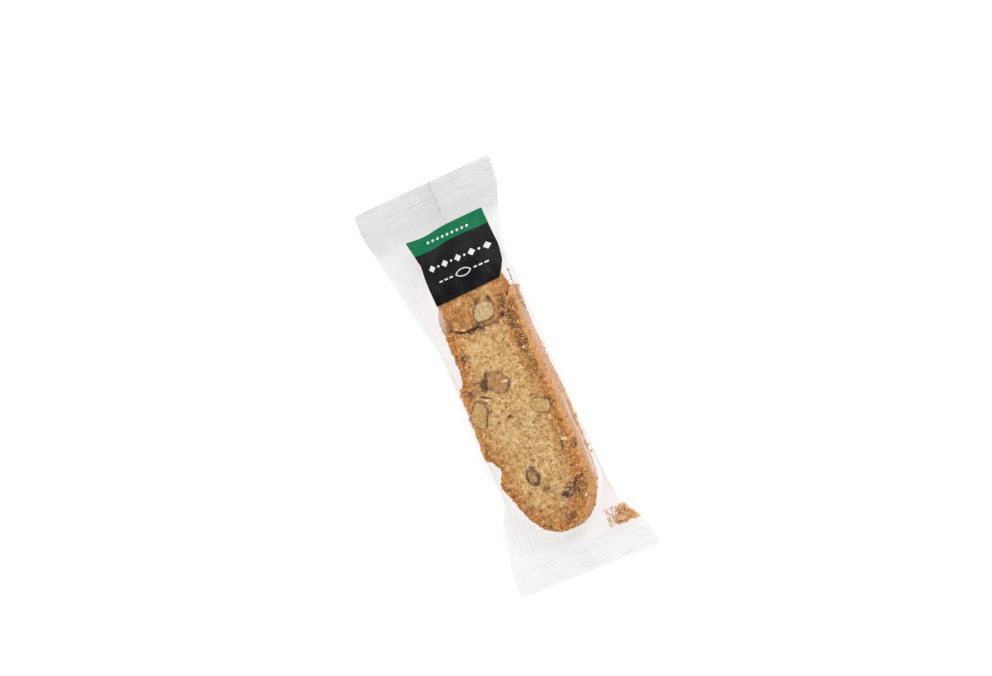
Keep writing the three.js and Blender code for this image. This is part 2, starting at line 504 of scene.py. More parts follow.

# %% [markdown]
# What makes handled film visible is uneven: it is milky where it hangs free and where it is welded,
# has a painted shade line in each valley of the crimps and beside each fold, painted highlights on the
# fold ridges and along a crease by the right side, and looks dense where it stands up beside the
# biscuit, partly from haze and partly from a painted reflection. Each of these is one small rule over
# the place, and three masks add them up.

# %% Rules for the film's marks
# Haze added where the film hangs free, listed from head to foot.
LOOSE_HAZE = [
    (HEAD, 0.25), (84, 0.25), (80, 0.275), (71, 0.115), (45, 0.105), (20, 0.075), (FOOT, 0.075),
]
CLEAR_RIGHT = 0.85  # how much of that is missing where the film stands close by the right side
# The crease along the right side has no relief: it is a painted highlight streak.
UPRIGHT_HEIGHT, UPRIGHT_HALF = 13.5, 0.8  # a crease that stands up along the right side
# The veil is partly haze of the steep film and partly a painted reflection of the light.
HEAD_VEIL = 3  # how much denser the steep film is over the head piece's left edge than elsewhere


def rib_shade_lines(x, y):
    """The valleys between the crimp's ribs, broken here and there: where painted shade lines go."""
    _, strength, wave = crimp_wave(x, y)
    broken = smoothstep(field(x / 7, y / 0.7, 6), -0.35, 0.4)
    return np.clip(-wave, 0, 1) ** 5 * smoothstep(strength, 0.2, 0.7) * broken


def free_folds(x, y):
    """The fanned folds, only where the film hangs free and carries no ink."""
    share = tent_share(x, y)
    free = np.where(outside_bed(x, y) > 0, smoothstep(4 * share * (1 - share), 0, 0.5), 0)
    return smoothstep(fold_fan(x, y, 10), 0.72, 0.95) * free * (1 - under_print(x, y))


def loose_haze(x, y):
    close = smoothstep(x, 21, 24) * smoothstep(y, -58, -50) * smoothstep(74 - y, 0, 6)
    return along(LOOSE_HAZE, y) * smoothstep(outside_bed(x, y), -1, 2) * (1 - CLEAR_RIGHT * close)


# A painted highlight streak where a crease of the film stands up along the right side.
def upright_crease_highlight(x, y, z):
    off = (z - UPRIGHT_HEIGHT - 0.8 * ripple(y / 9, 19)) / UPRIGHT_HALF
    on_side = smoothstep(x, 22, 23.5) * smoothstep(-y, 10, 24) * smoothstep(y, -60, -50)
    return np.exp(-(off**2)) * on_side * (0.7 + 0.3 * ripple(y / 4, 18))


def steep_veil_and_reflection(x, y, z):
    """1 where the film stands steep beside the rim, more over the head piece's left edge: haze and
    painted reflection.
    """
    beside = smoothstep(x, 21.5, 22.5) * smoothstep(17.3 - z, 0, 1.2) * smoothstep(z, 8.5, 11)
    beside *= smoothstep(y, -66, -54) * smoothstep(31 - y, 0, 5)
    over_head = smoothstep(-x, 9.4, 10.8) * smoothstep(14.5 + x, 0, 1.5) * smoothstep(z, 15, 17)
    over_head *= smoothstep(y, 28, 36) * smoothstep(44 - y, 0, 3)
    return np.maximum(beside, HEAD_VEIL * over_head)


# %% Mark the film
WELD_HAZE, FOLD_HAZE, UPRIGHT_HIGHLIGHT_HAZE, VEIL_HAZE_AND_REFLECTION = 0.085, 0.03, 0.5, 0.1


def mark_film(piece):
    """Masks for the finish: added haze, where it is pale or a painted highlight, and painted shade
    lines.
    """
    x, y, z = positions(piece.data).T
    welded = smoothstep(crimp_wave(x, y)[0], -0.5, 0.6)
    to_head = smoothstep(y, 60, 85)
    fold, upright_highlight, veil_and_reflection = free_folds(x, y), upright_crease_highlight(x, y, z), steep_veil_and_reflection(x, y, z)
    haze = loose_haze(x, y) + WELD_HAZE * welded + FOLD_HAZE * fold
    set_mask(piece.data, "haze", haze + UPRIGHT_HIGHLIGHT_HAZE * upright_highlight + VEIL_HAZE_AND_REFLECTION * veil_and_reflection)
    # Pale: milky welds, painted highlights on the fold ridges and the upright crease, and the veil.
    pales = [welded * (0.6 - 0.2 * to_head), 0.7 * fold, upright_highlight, veil_and_reflection]
    set_mask(piece.data, "pale", np.maximum.reduce(pales))
    ridge = named_folds(x, y)[0]
    valley = smoothstep(ridge, 0.2, 0.5) - smoothstep(ridge, 0.5, 0.8)
    # Painted shade lines: in the crimps' valleys, along the fold ridges and beside the named folds.
    lines = [rib_shade_lines(x, y) * (0.6 + 0.15 * to_head), 0.25 * fold, 0.3 * valley]
    set_mask(piece.data, "line", np.maximum.reduce(lines))


mark_film(film)
finish_piece(film)

# %% [markdown]
# ## The printed panel
# Ink lies on the film, so the panel bends with it: flat over the biscuit's head, sloping down to the
# crimped end and turning over the right shoulder. It is a patch of the same surface lifted by less
# than a tenth of a millimetre, with its own flat coordinates for the two fields of colour.

# %% Print finish
PRINT_GREEN = (0.004, 0.165, 0.068)
# The black ink, and the grey it turns to towards the head as a painted sheen.
PRINT_BLACK, PRINT_BLACK_SHEEN = (0.004, 0.004, 0.004), (0.013, 0.0125, 0.012)
PRINT_WHITE, PRINT_SCUFF = (0.74, 0.73, 0.73), (0.3, 0.31, 0.3)
GREEN_SHARE = 0.775  # where the green field begins, as a share of the panel's height


def print_material():
    """Two fields of ink with the faint streaks of creased film, the black one greyer to the head as a
    painted sheen.
    """
    material, tree, shader = new_material("print_ink", 0.4, 0.07)
    place = add_node(tree, "ShaderNodeUVMap", uv_map="panel").outputs["UV"]
    split = add_node(tree, "ShaderNodeSeparateXYZ")
    wire(tree, place, split.inputs["Vector"])
    black = map_range(tree, split.outputs["Y"], 0, GREEN_SHARE, 0, 1)
    # Painted sheen: the black turns greyer towards the head, where the sloping film faces the lights.
    black = mix_colour(tree, black, PRINT_BLACK, PRINT_BLACK_SHEEN)
    sway = map_range(tree, noise_texture(tree, 60, 2), 0.3, 0.7, -0.01, 0.01)
    is_green = maths(tree, "GREATER_THAN", maths(tree, "ADD", split.outputs["Y"], sway), GREEN_SHARE)
    ink = mix_colour(tree, is_green, black, PRINT_GREEN)
    worn = map_range(tree, noise_texture(tree, 110, 5, 0.6), 0.45, 0.8, 0, 0.06)
    wire(tree, mix_colour(tree, worn, ink, PRINT_SCUFF), shader.inputs["Base Color"])
    scuffs = map_range(tree, noise_texture(tree, 160), 0.3, 0.7, 0.34, 0.5)
    wire(tree, scuffs, shader.inputs["Roughness"])
    return material


def white_ink_material():
    """White ink with the slight wear that handled film shows."""
    material, tree, shader = new_material("white_ink", 0.4, 0.3)
    worn = map_range(tree, noise_texture(tree, 500, 4, 0.6), 0.45, 0.75, 0, 0.3)
    shade = tuple(0.7 * value for value in PRINT_WHITE)
    wire(tree, mix_colour(tree, worn, PRINT_WHITE, shade), shader.inputs["Base Color"])
    return material


print_ink = print_material()
white_ink = white_ink_material()

# %% Build the panel
PANEL_LIFT = 0.08
PANEL_LEFT = [(75, -15.9), (61.5, -11.3), (42, -10.9)]
PANEL_RIGHT = [(75, 23.8), (58, 24.2), (50, 23.4), (46, 22.6), (43, 21.4), (41.5, 20.4)]
PANEL_ROWS, PANEL_COLUMNS = 66, 80


def panel_ends(across):
    """Foot and head edge of the panel, a little uneven as the creased film draws them."""
    foot = 41.9 + 0.9 * across
    head = 74.6 - 1.2 * np.exp(-(((across - 0.22) / 0.2) ** 2)) + 0.5 * across
    return foot, head


def grid_faces(rows, columns):
    """Squares between the points of a grid that are numbered row after row."""
    corners = [j * columns + i for j in range(rows - 1) for i in range(columns - 1)]
    return [(a, a + 1, a + 1 + columns, a + columns) for a in corners]


def build_panel():
    across = np.linspace(0, 1, PANEL_COLUMNS)
    foot, head = panel_ends(across)
    rows = []
    for share in np.linspace(0, 1, PANEL_ROWS):
        y = foot + (head - foot) * share
        x = along(PANEL_LEFT, y) + (along(PANEL_RIGHT, y) - along(PANEL_LEFT, y)) * across
        rows.append(np.stack([x, y, front_height(x, y) + PANEL_LIFT], 1))
    faces = grid_faces(PANEL_ROWS, PANEL_COLUMNS)
    panel = make_piece("printed_panel", np.concatenate(rows), faces, print_ink)
    place = panel.data.uv_layers.new(name="panel")
    for loop in panel.data.loops:
        row, column = divmod(loop.vertex_index, PANEL_COLUMNS)
        place.data[loop.index].uv = (column / (PANEL_COLUMNS - 1), row / (PANEL_ROWS - 1))
    return panel


printed_panel = build_panel()
finish_piece(printed_panel)

# %% [markdown]
# The panel's white marks are plain shapes: a row of dots on the green field, a row of lozenges with
# dots between them on the black one, and under it an almond's outline between short dashes. Each is
# a small patch cut to its outline and laid on the panel.

# %% Shapes of the marks
def lozenge(x, y, width, height):
    return [(x + width / 2, y), (x, y + height / 2), (x - width / 2, y), (x, y - height / 2)]


def oval(x, y, width, height, sharpness=1.0, count=20):
    """A closed oval. A sharpness over 1 draws its two ends to points, like an almond's."""
    turns = [2 * math.pi * i / count for i in range(count)]
    return [(x + width / 2 * math.cos(a),
             y + height / 2 * math.copysign(abs(math.sin(a)) ** sharpness, math.sin(a))) for a in turns]


def bar(x, y, width, height):
    dx, dy = width / 2, height / 2
    return [(x + dx, y - dy), (x + dx, y + dy), (x - dx, y + dy), (x - dx, y - dy)]


def filled(outline):
    points = [tuple(np.mean(outline, 0)), *outline]
    count = len(outline)
    return points, [(0, 1 + i, 1 + (i + 1) % count) for i in range(count)]


def ring(outline, inner):
    count = len(outline)
    faces = [(i, (i + 1) % count, count + (i + 1) % count, count + i) for i in range(count)]
    return [*outline, *inner], faces


def lay_marks(name, marks, height, material):
    """Flat marks laid on a surface whose height is given by a rule."""
    points, faces = [], []
    for mark_points, mark_faces in marks:
        faces += [tuple(len(points) + i for i in face) for face in mark_faces]
        points += mark_points
    flat = np.array(points)
    z = height(flat[:, 0], flat[:, 1])
    return make_piece(name, np.column_stack([flat, z]), faces, material)


# %% Lay the marks on the panel
MARK_LIFT = 0.18
MARKS_MIDDLE = 7.2
GREEN_ROW, BIG_ROW, SMALL_ROW = 70.2, 58.4, 51.6
DOT_STEP, LOZENGE_STEP, DASH_STEP = 2.5, 6.6, 2.6
ALMOND_SIGN = ((8, 3.8), (6.6, 2.8))  # outer and inner size of its line


def dot(x, y, size):
    return filled(oval(x, y, size, size, count=12))


def panel_marks():
    marks = [dot(MARKS_MIDDLE - 2 + DOT_STEP * i, GREEN_ROW, 1.3) for i in range(-4, 5)]
    marks += [filled(lozenge(MARKS_MIDDLE + LOZENGE_STEP * i, BIG_ROW, 3.4, 3.4)) for i in range(-2, 3)]
    marks += [dot(MARKS_MIDDLE + LOZENGE_STEP * (i + 0.5), BIG_ROW, 1.1) for i in range(-2, 2)]
    marks.append(ring(*(oval(MARKS_MIDDLE, SMALL_ROW, *size, sharpness=1.5) for size in ALMOND_SIGN)))
    marks += [filled(bar(MARKS_MIDDLE + side * (6.2 + DASH_STEP * i), SMALL_ROW, 1.7, 0.7))
              for side in (-1, 1) for i in range(3)]
    return marks


panel_print = lay_marks(
    "panel_marks", panel_marks(), lambda x, y: front_height(x, y) + MARK_LIFT, white_ink)
finish_piece(panel_print)

# %% [markdown]
# ## Crumb and crust finish
# Cut biscotto is an open, golden crumb that browns towards its crust. A few numbers on each vertex
# drive the finish: how toasted or scorched the place is, with painted shade in some of the scorched
# spots; how high it stands, which paints light on the crags' tops and shade in their hollows; how deep
# in a pore or hollow it lies, which paints shade there; and whether it is almond skin, with painted
# shade in the crack, or the pale side of the slice. They come from the same rules that shape the mesh,
# so colour and form agree. The colour work is one node group, because the biscuit and its broken head
# piece both use it.

# %% Baked colours and shader helpers
CRUMB_PALE, CRUMB_MID, CRUMB_TAN = (0.79, 0.59, 0.34), (0.67, 0.415, 0.155), (0.41, 0.2, 0.055)
CRUMB_DULL, CRUMB_FLECK = (0.38, 0.21, 0.065), (0.72, 0.31, 0.07)
CRUST_PALE, CRUST_ORANGE, CRUST_DARK = (0.83, 0.44, 0.14), (0.49, 0.174, 0.028), (0.18, 0.063, 0.017)
SIDE_PALE, SIDE_MID, SIDE_TAN = (0.77, 0.43, 0.19), (0.68, 0.345, 0.125), (0.54, 0.24, 0.075)
# Brown for scorched spots and for painted shade along the crack and the crust's edge.
SCORCH_AND_SHADE_BROWN = (0.16, 0.069, 0.024)
# Painted shade in the pores and hollows.
PORE_SHADE_BROWN = (0.19, 0.09, 0.028)
SKIN_BROWN, SKIN_RED = (0.075, 0.027, 0.03), (0.24, 0.06, 0.035)


def three_tones(tree, value, dark, middle, pale, spread=0.09):
    """Dark, middle and pale tones shared out over a noise whose middle is 0.5."""
    to_middle = map_range(tree, value, 0.5 - 1.6 * spread, 0.5 - 0.3 * spread, 0, 1)
    to_pale = map_range(tree, value, 0.5 + 0.2 * spread, 0.5 + 1.7 * spread, 0, 1)
    return mix_colour(tree, to_pale, mix_colour(tree, to_middle, dark, middle), pale)


def warped(tree, place, scale, amount):
    """Coordinates pushed about by a noise, so that what reads them loses its regular shape."""
    push = add_node(tree, "ShaderNodeTexNoise", {"Scale": scale, "Detail": 2.0})
    wire(tree, place, push.inputs["Vector"])
    moved = add_node(tree, "ShaderNodeVectorMath", operation="MULTIPLY_ADD")
    moved.inputs[1].default_value = (amount,) * 3
    wire(tree, push.outputs["Color"], moved.inputs[0])
    wire(tree, place, moved.inputs[2])
    return moved.outputs[0]


def open_pores(tree, place):
    """Fine pores of uneven shape, in some patches only, painted darker as shade."""
    cells = add_node(tree, "ShaderNodeTexVoronoi", {"Scale": 560.0})
    wire(tree, warped(tree, place, 480, 0.0008), cells.inputs["Vector"])
    pores = map_range(tree, cells.outputs["Distance"], 0.1, 0.34, 1, 0)
    sparse = map_range(tree, noise_texture(tree, 300, 2, 0.5, place), 0.44, 0.6, 0, 1)
    return maths(tree, "MULTIPLY", pores, sparse)


def new_group(kind, name, takes, gives):
    """An empty node group with its sockets, and its input and output nodes."""
    group = bpy.data.node_groups.new(name, kind)
    for sockets, way in ((takes, "INPUT"), (gives, "OUTPUT")):
        for label, socket in sockets:
            group.interface.new_socket(name=label, in_out=way, socket_type=f"NodeSocket{socket}")
    return group, group.nodes.new("NodeGroupInput").outputs, group.nodes.new("NodeGroupOutput").inputs


def wire_bump(tree, shader, height, strength, distance):
    bump = add_node(tree, "ShaderNodeBump", {"Strength": strength, "Distance": distance})
    wire(tree, height, bump.inputs["Height"])
    wire(tree, bump.outputs["Normal"], shader.inputs["Normal"])


# %% [markdown]
# The colours are laid over each other in the order in which they come about: plain crumb with painted
# light and shade over its crags, the toasted crust over it, the pale side, scorched spots and painted
# shade, then the painted shade of the pores and the scraps of skin. Each layer is mixed in by its
# mask, and a noise makes the mask's edge as uneven as baking does.

# %% The crumb colour group
CRUMB_MASKS = ("Toast", "Scorch_and_shade", "Crag_shading", "Pore_shade", "Skin", "Side")


def crumb_group():
    takes = [("Place", "Vector"), *((mask, "Float") for mask in CRUMB_MASKS)]
    group, given, results = new_group(
        "ShaderNodeTree", "baked_crumb", takes, [("Colour", "Color"), ("Height", "Float")])
    place = given["Place"]

    patch = noise_texture(group, 190, 3, 0.6, place)
    grain = noise_texture(group, 820, 3, 0.6, place)
    clumps = noise_texture(group, 430, 3, 0.6, place)
    fine, broad = maths(group, "MULTIPLY", grain, 0.55), maths(group, "MULTIPLY", clumps, 0.45)
    # Painted light and shade: the crags' tops paler, their hollows darker.
    crag_shading = map_range(group, given["Crag_shading"], 0, 1, -0.06, 0.06)
    tone = maths(group, "ADD", maths(group, "ADD", fine, broad), crag_shading)
    pores = open_pores(group, place)

    base = three_tones(group, tone, CRUMB_TAN, CRUMB_MID, CRUMB_PALE, 0.065)
    base = mix_colour(group, map_range(group, patch, 0.52, 0.72, 0, 0.5), base, CRUMB_DULL)
    flecks = map_range(group, noise_texture(group, 560, 2, 0.5, place), 0.62, 0.69, 0, 0.65)
    base = mix_colour(group, flecks, base, CRUMB_FLECK)
    crust = three_tones(group, tone, CRUST_DARK, CRUST_ORANGE, CRUST_PALE, 0.075)
    toast = maths(group, "MULTIPLY", given["Toast"], map_range(group, patch, 0.3, 0.7, 1.4, 0.7))
    baked = mix_colour(group, toast, base, crust)
    side = three_tones(group, clumps, SIDE_TAN, SIDE_MID, SIDE_PALE)
    baked = mix_colour(group, given["Side"], baked, side)
    # Scorched spots, and painted shade where the spot lists place it.
    burnt_and_shaded = maths(group, "MULTIPLY", given["Scorch_and_shade"], map_range(group, tone, 0.42, 0.62, 1.2, 0.5))
    baked = mix_colour(group, burnt_and_shaded, baked, SCORCH_AND_SHADE_BROWN)
    # Painted shade in the open pores, the bubbles and the hollows.
    holes = maths(group, "MAXIMUM", maths(group, "MULTIPLY", pores, 0.75), given["Pore_shade"])
    holes = maths(group, "MULTIPLY", holes, map_range(group, given["Side"], 0, 1, 1, 0.35))
    baked = mix_colour(group, holes, baked, PORE_SHADE_BROWN)
    # Almond skin, and the crack's painted shade in the same dark.
    skin = maths(group, "MULTIPLY", given["Skin"], map_range(group, grain, 0.4, 0.65, 1, 0.45))
    skin_colour = mix_colour(group, map_range(group, clumps, 0.48, 0.6, 0, 1), SKIN_BROWN, SKIN_RED)
    wire(group, mix_colour(group, skin, baked, skin_colour), results["Colour"])
    relief = maths(group, "SUBTRACT", grain, maths(group, "MULTIPLY", pores, 0.5))
    wire(group, relief, results["Height"])
    return group


baked_crumb = crumb_group()
print("baked_crumb:", len(baked_crumb.nodes), "nodes")


# %% The two crumb finishes
def crumb_material(name, toast_shift=0.0, fineness=1.0):
    """Baked crumb. toast_shift browns the whole piece a little, a low fineness makes it coarser."""
    material, tree, shader = new_material(name, 0.8, 0.2)
    recipe = add_node(tree, "ShaderNodeGroup", node_tree=baked_crumb)
    place = add_node(tree, "ShaderNodeVectorMath", {"Scale": fineness}, operation="SCALE")
    wire(tree, object_coordinates(tree), place.inputs[0])
    wire(tree, place.outputs[0], recipe.inputs["Place"])
    for mask in CRUMB_MASKS:
        value = read_mask(tree, mask.lower())
        if mask == "Toast":
            value = maths(tree, "ADD", value, toast_shift)
        wire(tree, value, recipe.inputs[mask])
    wire(tree, recipe.outputs["Colour"], shader.inputs["Base Color"])
    wire_bump(tree, shader, recipe.outputs["Height"], 0.55, 0.0005)
    return material


crumb_finish = crumb_material("crumb")
head_finish = crumb_material("crumb_head_piece", 0.42, 0.6)

# %% [markdown]
# ## Outlines of the two broken pieces
# A slice cut from a baked log has a flat face and a crust that leans outwards under it, so each piece
# is drawn twice: as the edge of its front face, and as its widest outline lower down. Points go
# clockwise from the right side of the crack. A smooth loop through them gives the real outline,
# with the bite out of the crumbling side and the step where the pieces broke apart.

# %% Outlines, in millimetres
FACE_HEIGHT = 17.9
BASE_HEIGHT = 9.0
BED_HEIGHT = 0.55

# Each row: front face x, y, then widest outline x, y.
BODY_OUTLINE = [
    (21.4, 32.6, 22.6, 38.0), (21.2, 28, 23.3, 34.4), (20.4, 21, 23.0, 26), (20.3, 12, 22.7, 13),
    (20.8, -2, 23.3, -2), (21.2, -18, 24.1, -18), (21.0, -30, 23.9, -31), (20.6, -44, 23.2, -45),
    (19.8, -53, 22.3, -54.5), (17.2, -60.4, 19.8, -61.6), (13.6, -66.4, 16.0, -67.8),
    (9.0, -70.9, 10.4, -72.8), (3.6, -72.5, 3.8, -73.7), (-0.8, -71.8, -1.3, -73.2),
    (-5.6, -68.8, -6.4, -70.2), (-9.8, -63.6, -10.7, -64.6), (-12.4, -58.4, -13.2, -58.9),
    (-13.9, -54, -14.6, -54.2), (-15.4, -49.6, -16.3, -49.6), (-16.9, -45.6, -17.8, -45.6),
    (-16.4, -42, -17.4, -42), (-14.8, -39.6, -15.2, -39.8), (-14.8, -35.6, -15.2, -35.6),
    (-16.8, -32.4, -17.6, -32.2), (-19.4, -29.4, -20.1, -29.2), (-18.7, -23, -19.4, -23),
    (-17.9, -14, -18.8, -14), (-17.6, -5, -18.5, -5), (-17.0, 1.8, -18.2, 2), (-14.2, 5.0, -15.6, 5.4),
    (-13.0, 9, -14.8, 9), (-12.9, 18, -14.7, 18), (-12.5, 24.4, -14.5, 25), (-11.8, 27.6, -14.2, 29.8),
    (-9.8, 28.2, -10.4, 29.8), (-8.2, 27.3, -8.4, 28.8), (-5.7, 25.6, -5.7, 27.0),
    (-3.4, 24.7, -3.4, 26.2), (-0.8, 24.8, -0.8, 26.1), (1.4, 25.0, 1.4, 25.9), (3.5, 25.4, 3.5, 25.6),
    (5.7, 25.8, 5.7, 25.9), (8.0, 26.2, 8.0, 26.4), (10.5, 26.4, 10.5, 26.6), (13.8, 26.5, 13.8, 26.7),
    (16.6, 26.8, 16.8, 27.0), (19.2, 27.4, 19.4, 28.2), (20.3, 30.0, 20.5, 33.0),
]
HEAD_OUTLINE = [
    (20.1, 29.6, 19.6, 30.2), (20.8, 33, 20.2, 33.4), (20.8, 37, 20.2, 38), (19.8, 42, 19.2, 43.4),
    (17.6, 48, 18.2, 51), (13.0, 53, 15.2, 56.4), (8.0, 55.4, 9.2, 59.4), (3.0, 54.8, 2.8, 60.0),
    (-0.8, 51.6, -2.8, 57.4), (-3.4, 47, -7.0, 52.4), (-5.4, 42.5, -10.4, 46.4),
    (-8.4, 38.4, -12.8, 41.2), (-10.1, 35.2, -14.2, 36.6), (-10.8, 32.6, -14.9, 33),
    (-10.6, 30.6, -14.9, 29.8), (-9.0, 29.5, -9.8, 28.8), (-7.6, 28.7, -7.8, 27.9),
    (-5.7, 27.7, -5.8, 26.8), (-3.4, 27.1, -3.4, 26.0), (-0.8, 27.2, -0.8, 26.2),
    (1.3, 27.0, 1.3, 26.3), (3.5, 25.8, 3.5, 25.7), (5.7, 26.0, 5.7, 25.9), (8.0, 26.4, 8.0, 26.3),
    (10.5, 26.6, 10.5, 26.5), (13.8, 26.8, 13.8, 26.7), (16.6, 27.2, 16.6, 27.1),
    (18.9, 28.0, 18.6, 28.2),
]


# %% Smooth loops through the points
def signed_area(loop):
    """Positive when the loop runs counterclockwise seen from above."""
    x, y = loop[:, 0], loop[:, 1]
    return 0.5 * float(np.sum(x * np.roll(y, -1) - y * np.roll(x, -1)))


def smooth_loop(points, count):
    """A closed clockwise curve through the points, as evenly numbered samples."""
    points = np.asarray(points, float)
    if signed_area(points) > 0:
        points = points[::-1]
    t = np.linspace(0, len(points), count, endpoint=False)
    i, u = t.astype(int), (t % 1)[:, None]
    p0, p1, p2, p3 = (points[(i + k) % len(points)] for k in (-1, 0, 1, 2))
    return 0.5 * (2 * p1 + (p2 - p0) * u + (2 * p0 - 5 * p1 + 4 * p2 - p3) * u**2
                  + (3 * p1 - p0 - 3 * p2 + p3) * u**3)


for name, outline in (("biscuit", BODY_OUTLINE), ("head piece", HEAD_OUTLINE)):
    cut = smooth_loop(outline, 200)[:, :2]
    print(f"{name}: cut face of {abs(signed_area(cut)) / 100:.1f} square centimetres")

# %% [markdown]
# The knife also went through whole almonds. Their outlines are drawn here, before the crumb is
# shaped, because the crumb is pressed down a little where an almond fills it. The third number of
# each row is how much of its dry brown skin still shows at that place.

# %% Outlines of the cut almonds, in millimetres
ALMOND_HEAD = [
    (5.7, 35.5, 0.8), (8.2, 36.0, 0.3), (11.1, 35.2, 0.3), (13.2, 34.1, 0.5), (13.6, 32.2, 0.4),
    (12.8, 30.0, 0.5), (11.2, 28.4, 0.7), (8.8, 27.8, 0.6), (5.7, 27.9, 0.7), (3.5, 28.6, 0.5),
    (2.8, 30.5, 0.8), (3.2, 32.8, 0.9), (4.2, 34.6, 0.9),
]
ALMOND_MIDDLE = [
    (-3.3, 3.8, 1.0), (-2.0, 4.6, 0.9), (0.5, 4.8, 0.6), (2.7, 4.4, 0.8), (4.1, 3.1, 0.7),
    (5.0, 1.3, 0.3), (6.2, -0.5, 0.6), (5.9, -2.3, 0.9), (4.5, -4.3, 0.8), (2.7, -5.2, 0.5),
    (0.3, -5.2, 0.4), (-1.8, -3.9, 0.4), (-3.3, -2.0, 0.6), (-4.1, -0.1, 0.6), (-3.8, 2.1, 0.6),
]
ALMOND_SIDE = [
    (-15.0, -6.6, 0.7), (-16.8, -9.1, 0.5), (-17.7, -11.9, 0.3), (-17.2, -14.4, 0.3),
    (-15.6, -16.0, 0.4), (-14.3, -16.9, 0.8), (-12.9, -16.8, 1.0), (-11.3, -14.6, 1.0),
    (-9.4, -11.5, 1.0), (-8.7, -9.2, 0.9), (-9.1, -7.1, 0.7), (-10.3, -5.3, 0.8),
    (-11.9, -4.5, 1.0), (-13.1, -4.8, 1.0),
]
ALMOND_RIGHT = [
    (12.0, -13.9, 0.2), (10.9, -14.7, 0.4), (10.7, -16.6, 0.3), (11.4, -18.2, 0.3),
    (13.1, -19.5, 0.5), (15.2, -20.9, 0.8), (17.5, -21.0, 0.6), (18.7, -19.9, 0.4),
    (19.7, -17.7, 0.8), (19.9, -15.9, 1.0), (18.7, -14.9, 0.9), (16.4, -13.8, 0.2),
    (14.0, -13.1, 0.1), (12.8, -13.5, 0.1),
]
ALMOND_RING = [
    (-0.3, -41.3, 2.7), (-2.2, -41.1, 2.6), (-3.9, -42.3, 1.6), (-5.0, -44.4, 2.3),
    (-4.6, -46.3, 1.6), (-3.9, -48.2, 1.2), (-2.6, -49.6, 2.6), (-0.7, -49.9, 3.0),
    (0.2, -48.2, 1.8), (1.6, -46.0, 2.9), (0.9, -43.7, 1.8),
]


# %% How far out in an outline a place lies
def outline_reach(points, outline):
    """Distance from an outline's middle as a share of the outline's own, so 1 on the line."""
    loop = smooth_loop(outline, 72)[:, :2]
    middle = loop.mean(0)
    angle, length = (np.arctan2(*(loop - middle).T[::-1]), np.hypot(*(loop - middle).T))
    dx, dy = points[:, 0] - middle[0], points[:, 1] - middle[1]
    return np.hypot(dx, dy) / np.interp(np.arctan2(dy, dx), angle, length, period=2 * math.pi)


# %% [markdown]
# ## From outlines to a baked mass
# Rings are laid from the back face to the front face, easing from the widest outline to the front
# edge. Skinning them gives a plain slab. A voxel remesh then turns the slab into even small squares,
# fine enough to carry pores as real holes, which stretched quads could not.

# %% Raw slabs
VOXEL = 0.42
LOOP_SAMPLES = 260
BACK_ROUNDING = [(0.0, 2.2), (0.5, 1.3), (1.4, 0.7), (2.6, 0.3), (4.2, 0.0)]  # lift, inset
FRONT_EASING = [  # share of the height, share of the way in to the front edge
    (0.0, 0.0), (0.35, 0.03), (0.58, 0.12), (0.75, 0.28), (0.87, 0.48), (0.95, 0.72), (1.0, 1.0)]


def inward(loop):
    """Unit vectors that point into a clockwise loop."""
    tangent = np.roll(loop, -1, 0) - np.roll(loop, 1, 0)
    normal = np.stack([tangent[:, 1], -tangent[:, 0]], 1)
    return normal / np.linalg.norm(normal, axis=1)[:, None]


def slab_rings(outline):
    loop = smooth_loop(outline, LOOP_SAMPLES)
    face, base = loop[:, :2], loop[:, 2:]
    rings = []
    for lift, inset in BACK_ROUNDING:
        rings.append((base + inward(base) * inset, BED_HEIGHT + lift))
    for share, ease in FRONT_EASING:
        rings.append((base + (face - base) * ease, BASE_HEIGHT + (FACE_HEIGHT - BASE_HEIGHT) * share))
    return [np.column_stack([line, np.full(len(line), height)]) for line, height in rings]


def capped_faces(rings, size):
    """The faces of a stack of rings, closed by one many-sided face over each end."""
    last = (rings - 1) * size
    return [*ring_faces(rings, size), tuple(range(size)), tuple(range(last, last + size))[::-1]]


def raw_slab(name, outline, material):
    rings = slab_rings(outline)
    faces = capped_faces(len(rings), LOOP_SAMPLES)
    slab = make_piece(name, np.concatenate(rings), faces, material)
    remesh = slab.modifiers.new("even_squares", "REMESH")
    remesh.mode = "VOXEL"
    remesh.voxel_size = VOXEL * MM * 1
    remesh.use_smooth_shade = True
    flatten_modifiers(slab)
    return slab


body = raw_slab("biscuit", BODY_OUTLINE, crumb_finish)
head_piece = raw_slab("biscuit_head_piece", HEAD_OUTLINE, head_finish)
print("biscuit vertices:", len(body.data.vertices), len(head_piece.data.vertices))

# %% [markdown]
# ## Pores, crags and toasting
# Every vertex moves along its normal. Rough low waves make the crags of a broken cut, and two sizes of
# bubble make the pores: a bubble is a cell of a random pattern, pressed in near its centre, and only
# some cells open, painted darker as shade. Three lists of ovals for each piece then place what is not
# random: hollows where crumb or almond fell out, painted dark as shade; scorched spots, some of them
# painted shade along the crack and the crust's edge; and scraps of almond skin, some of them painted
# shade in the crack's open part. Each row is a middle, a half length and half width, a turn, and a
# depth or strength.

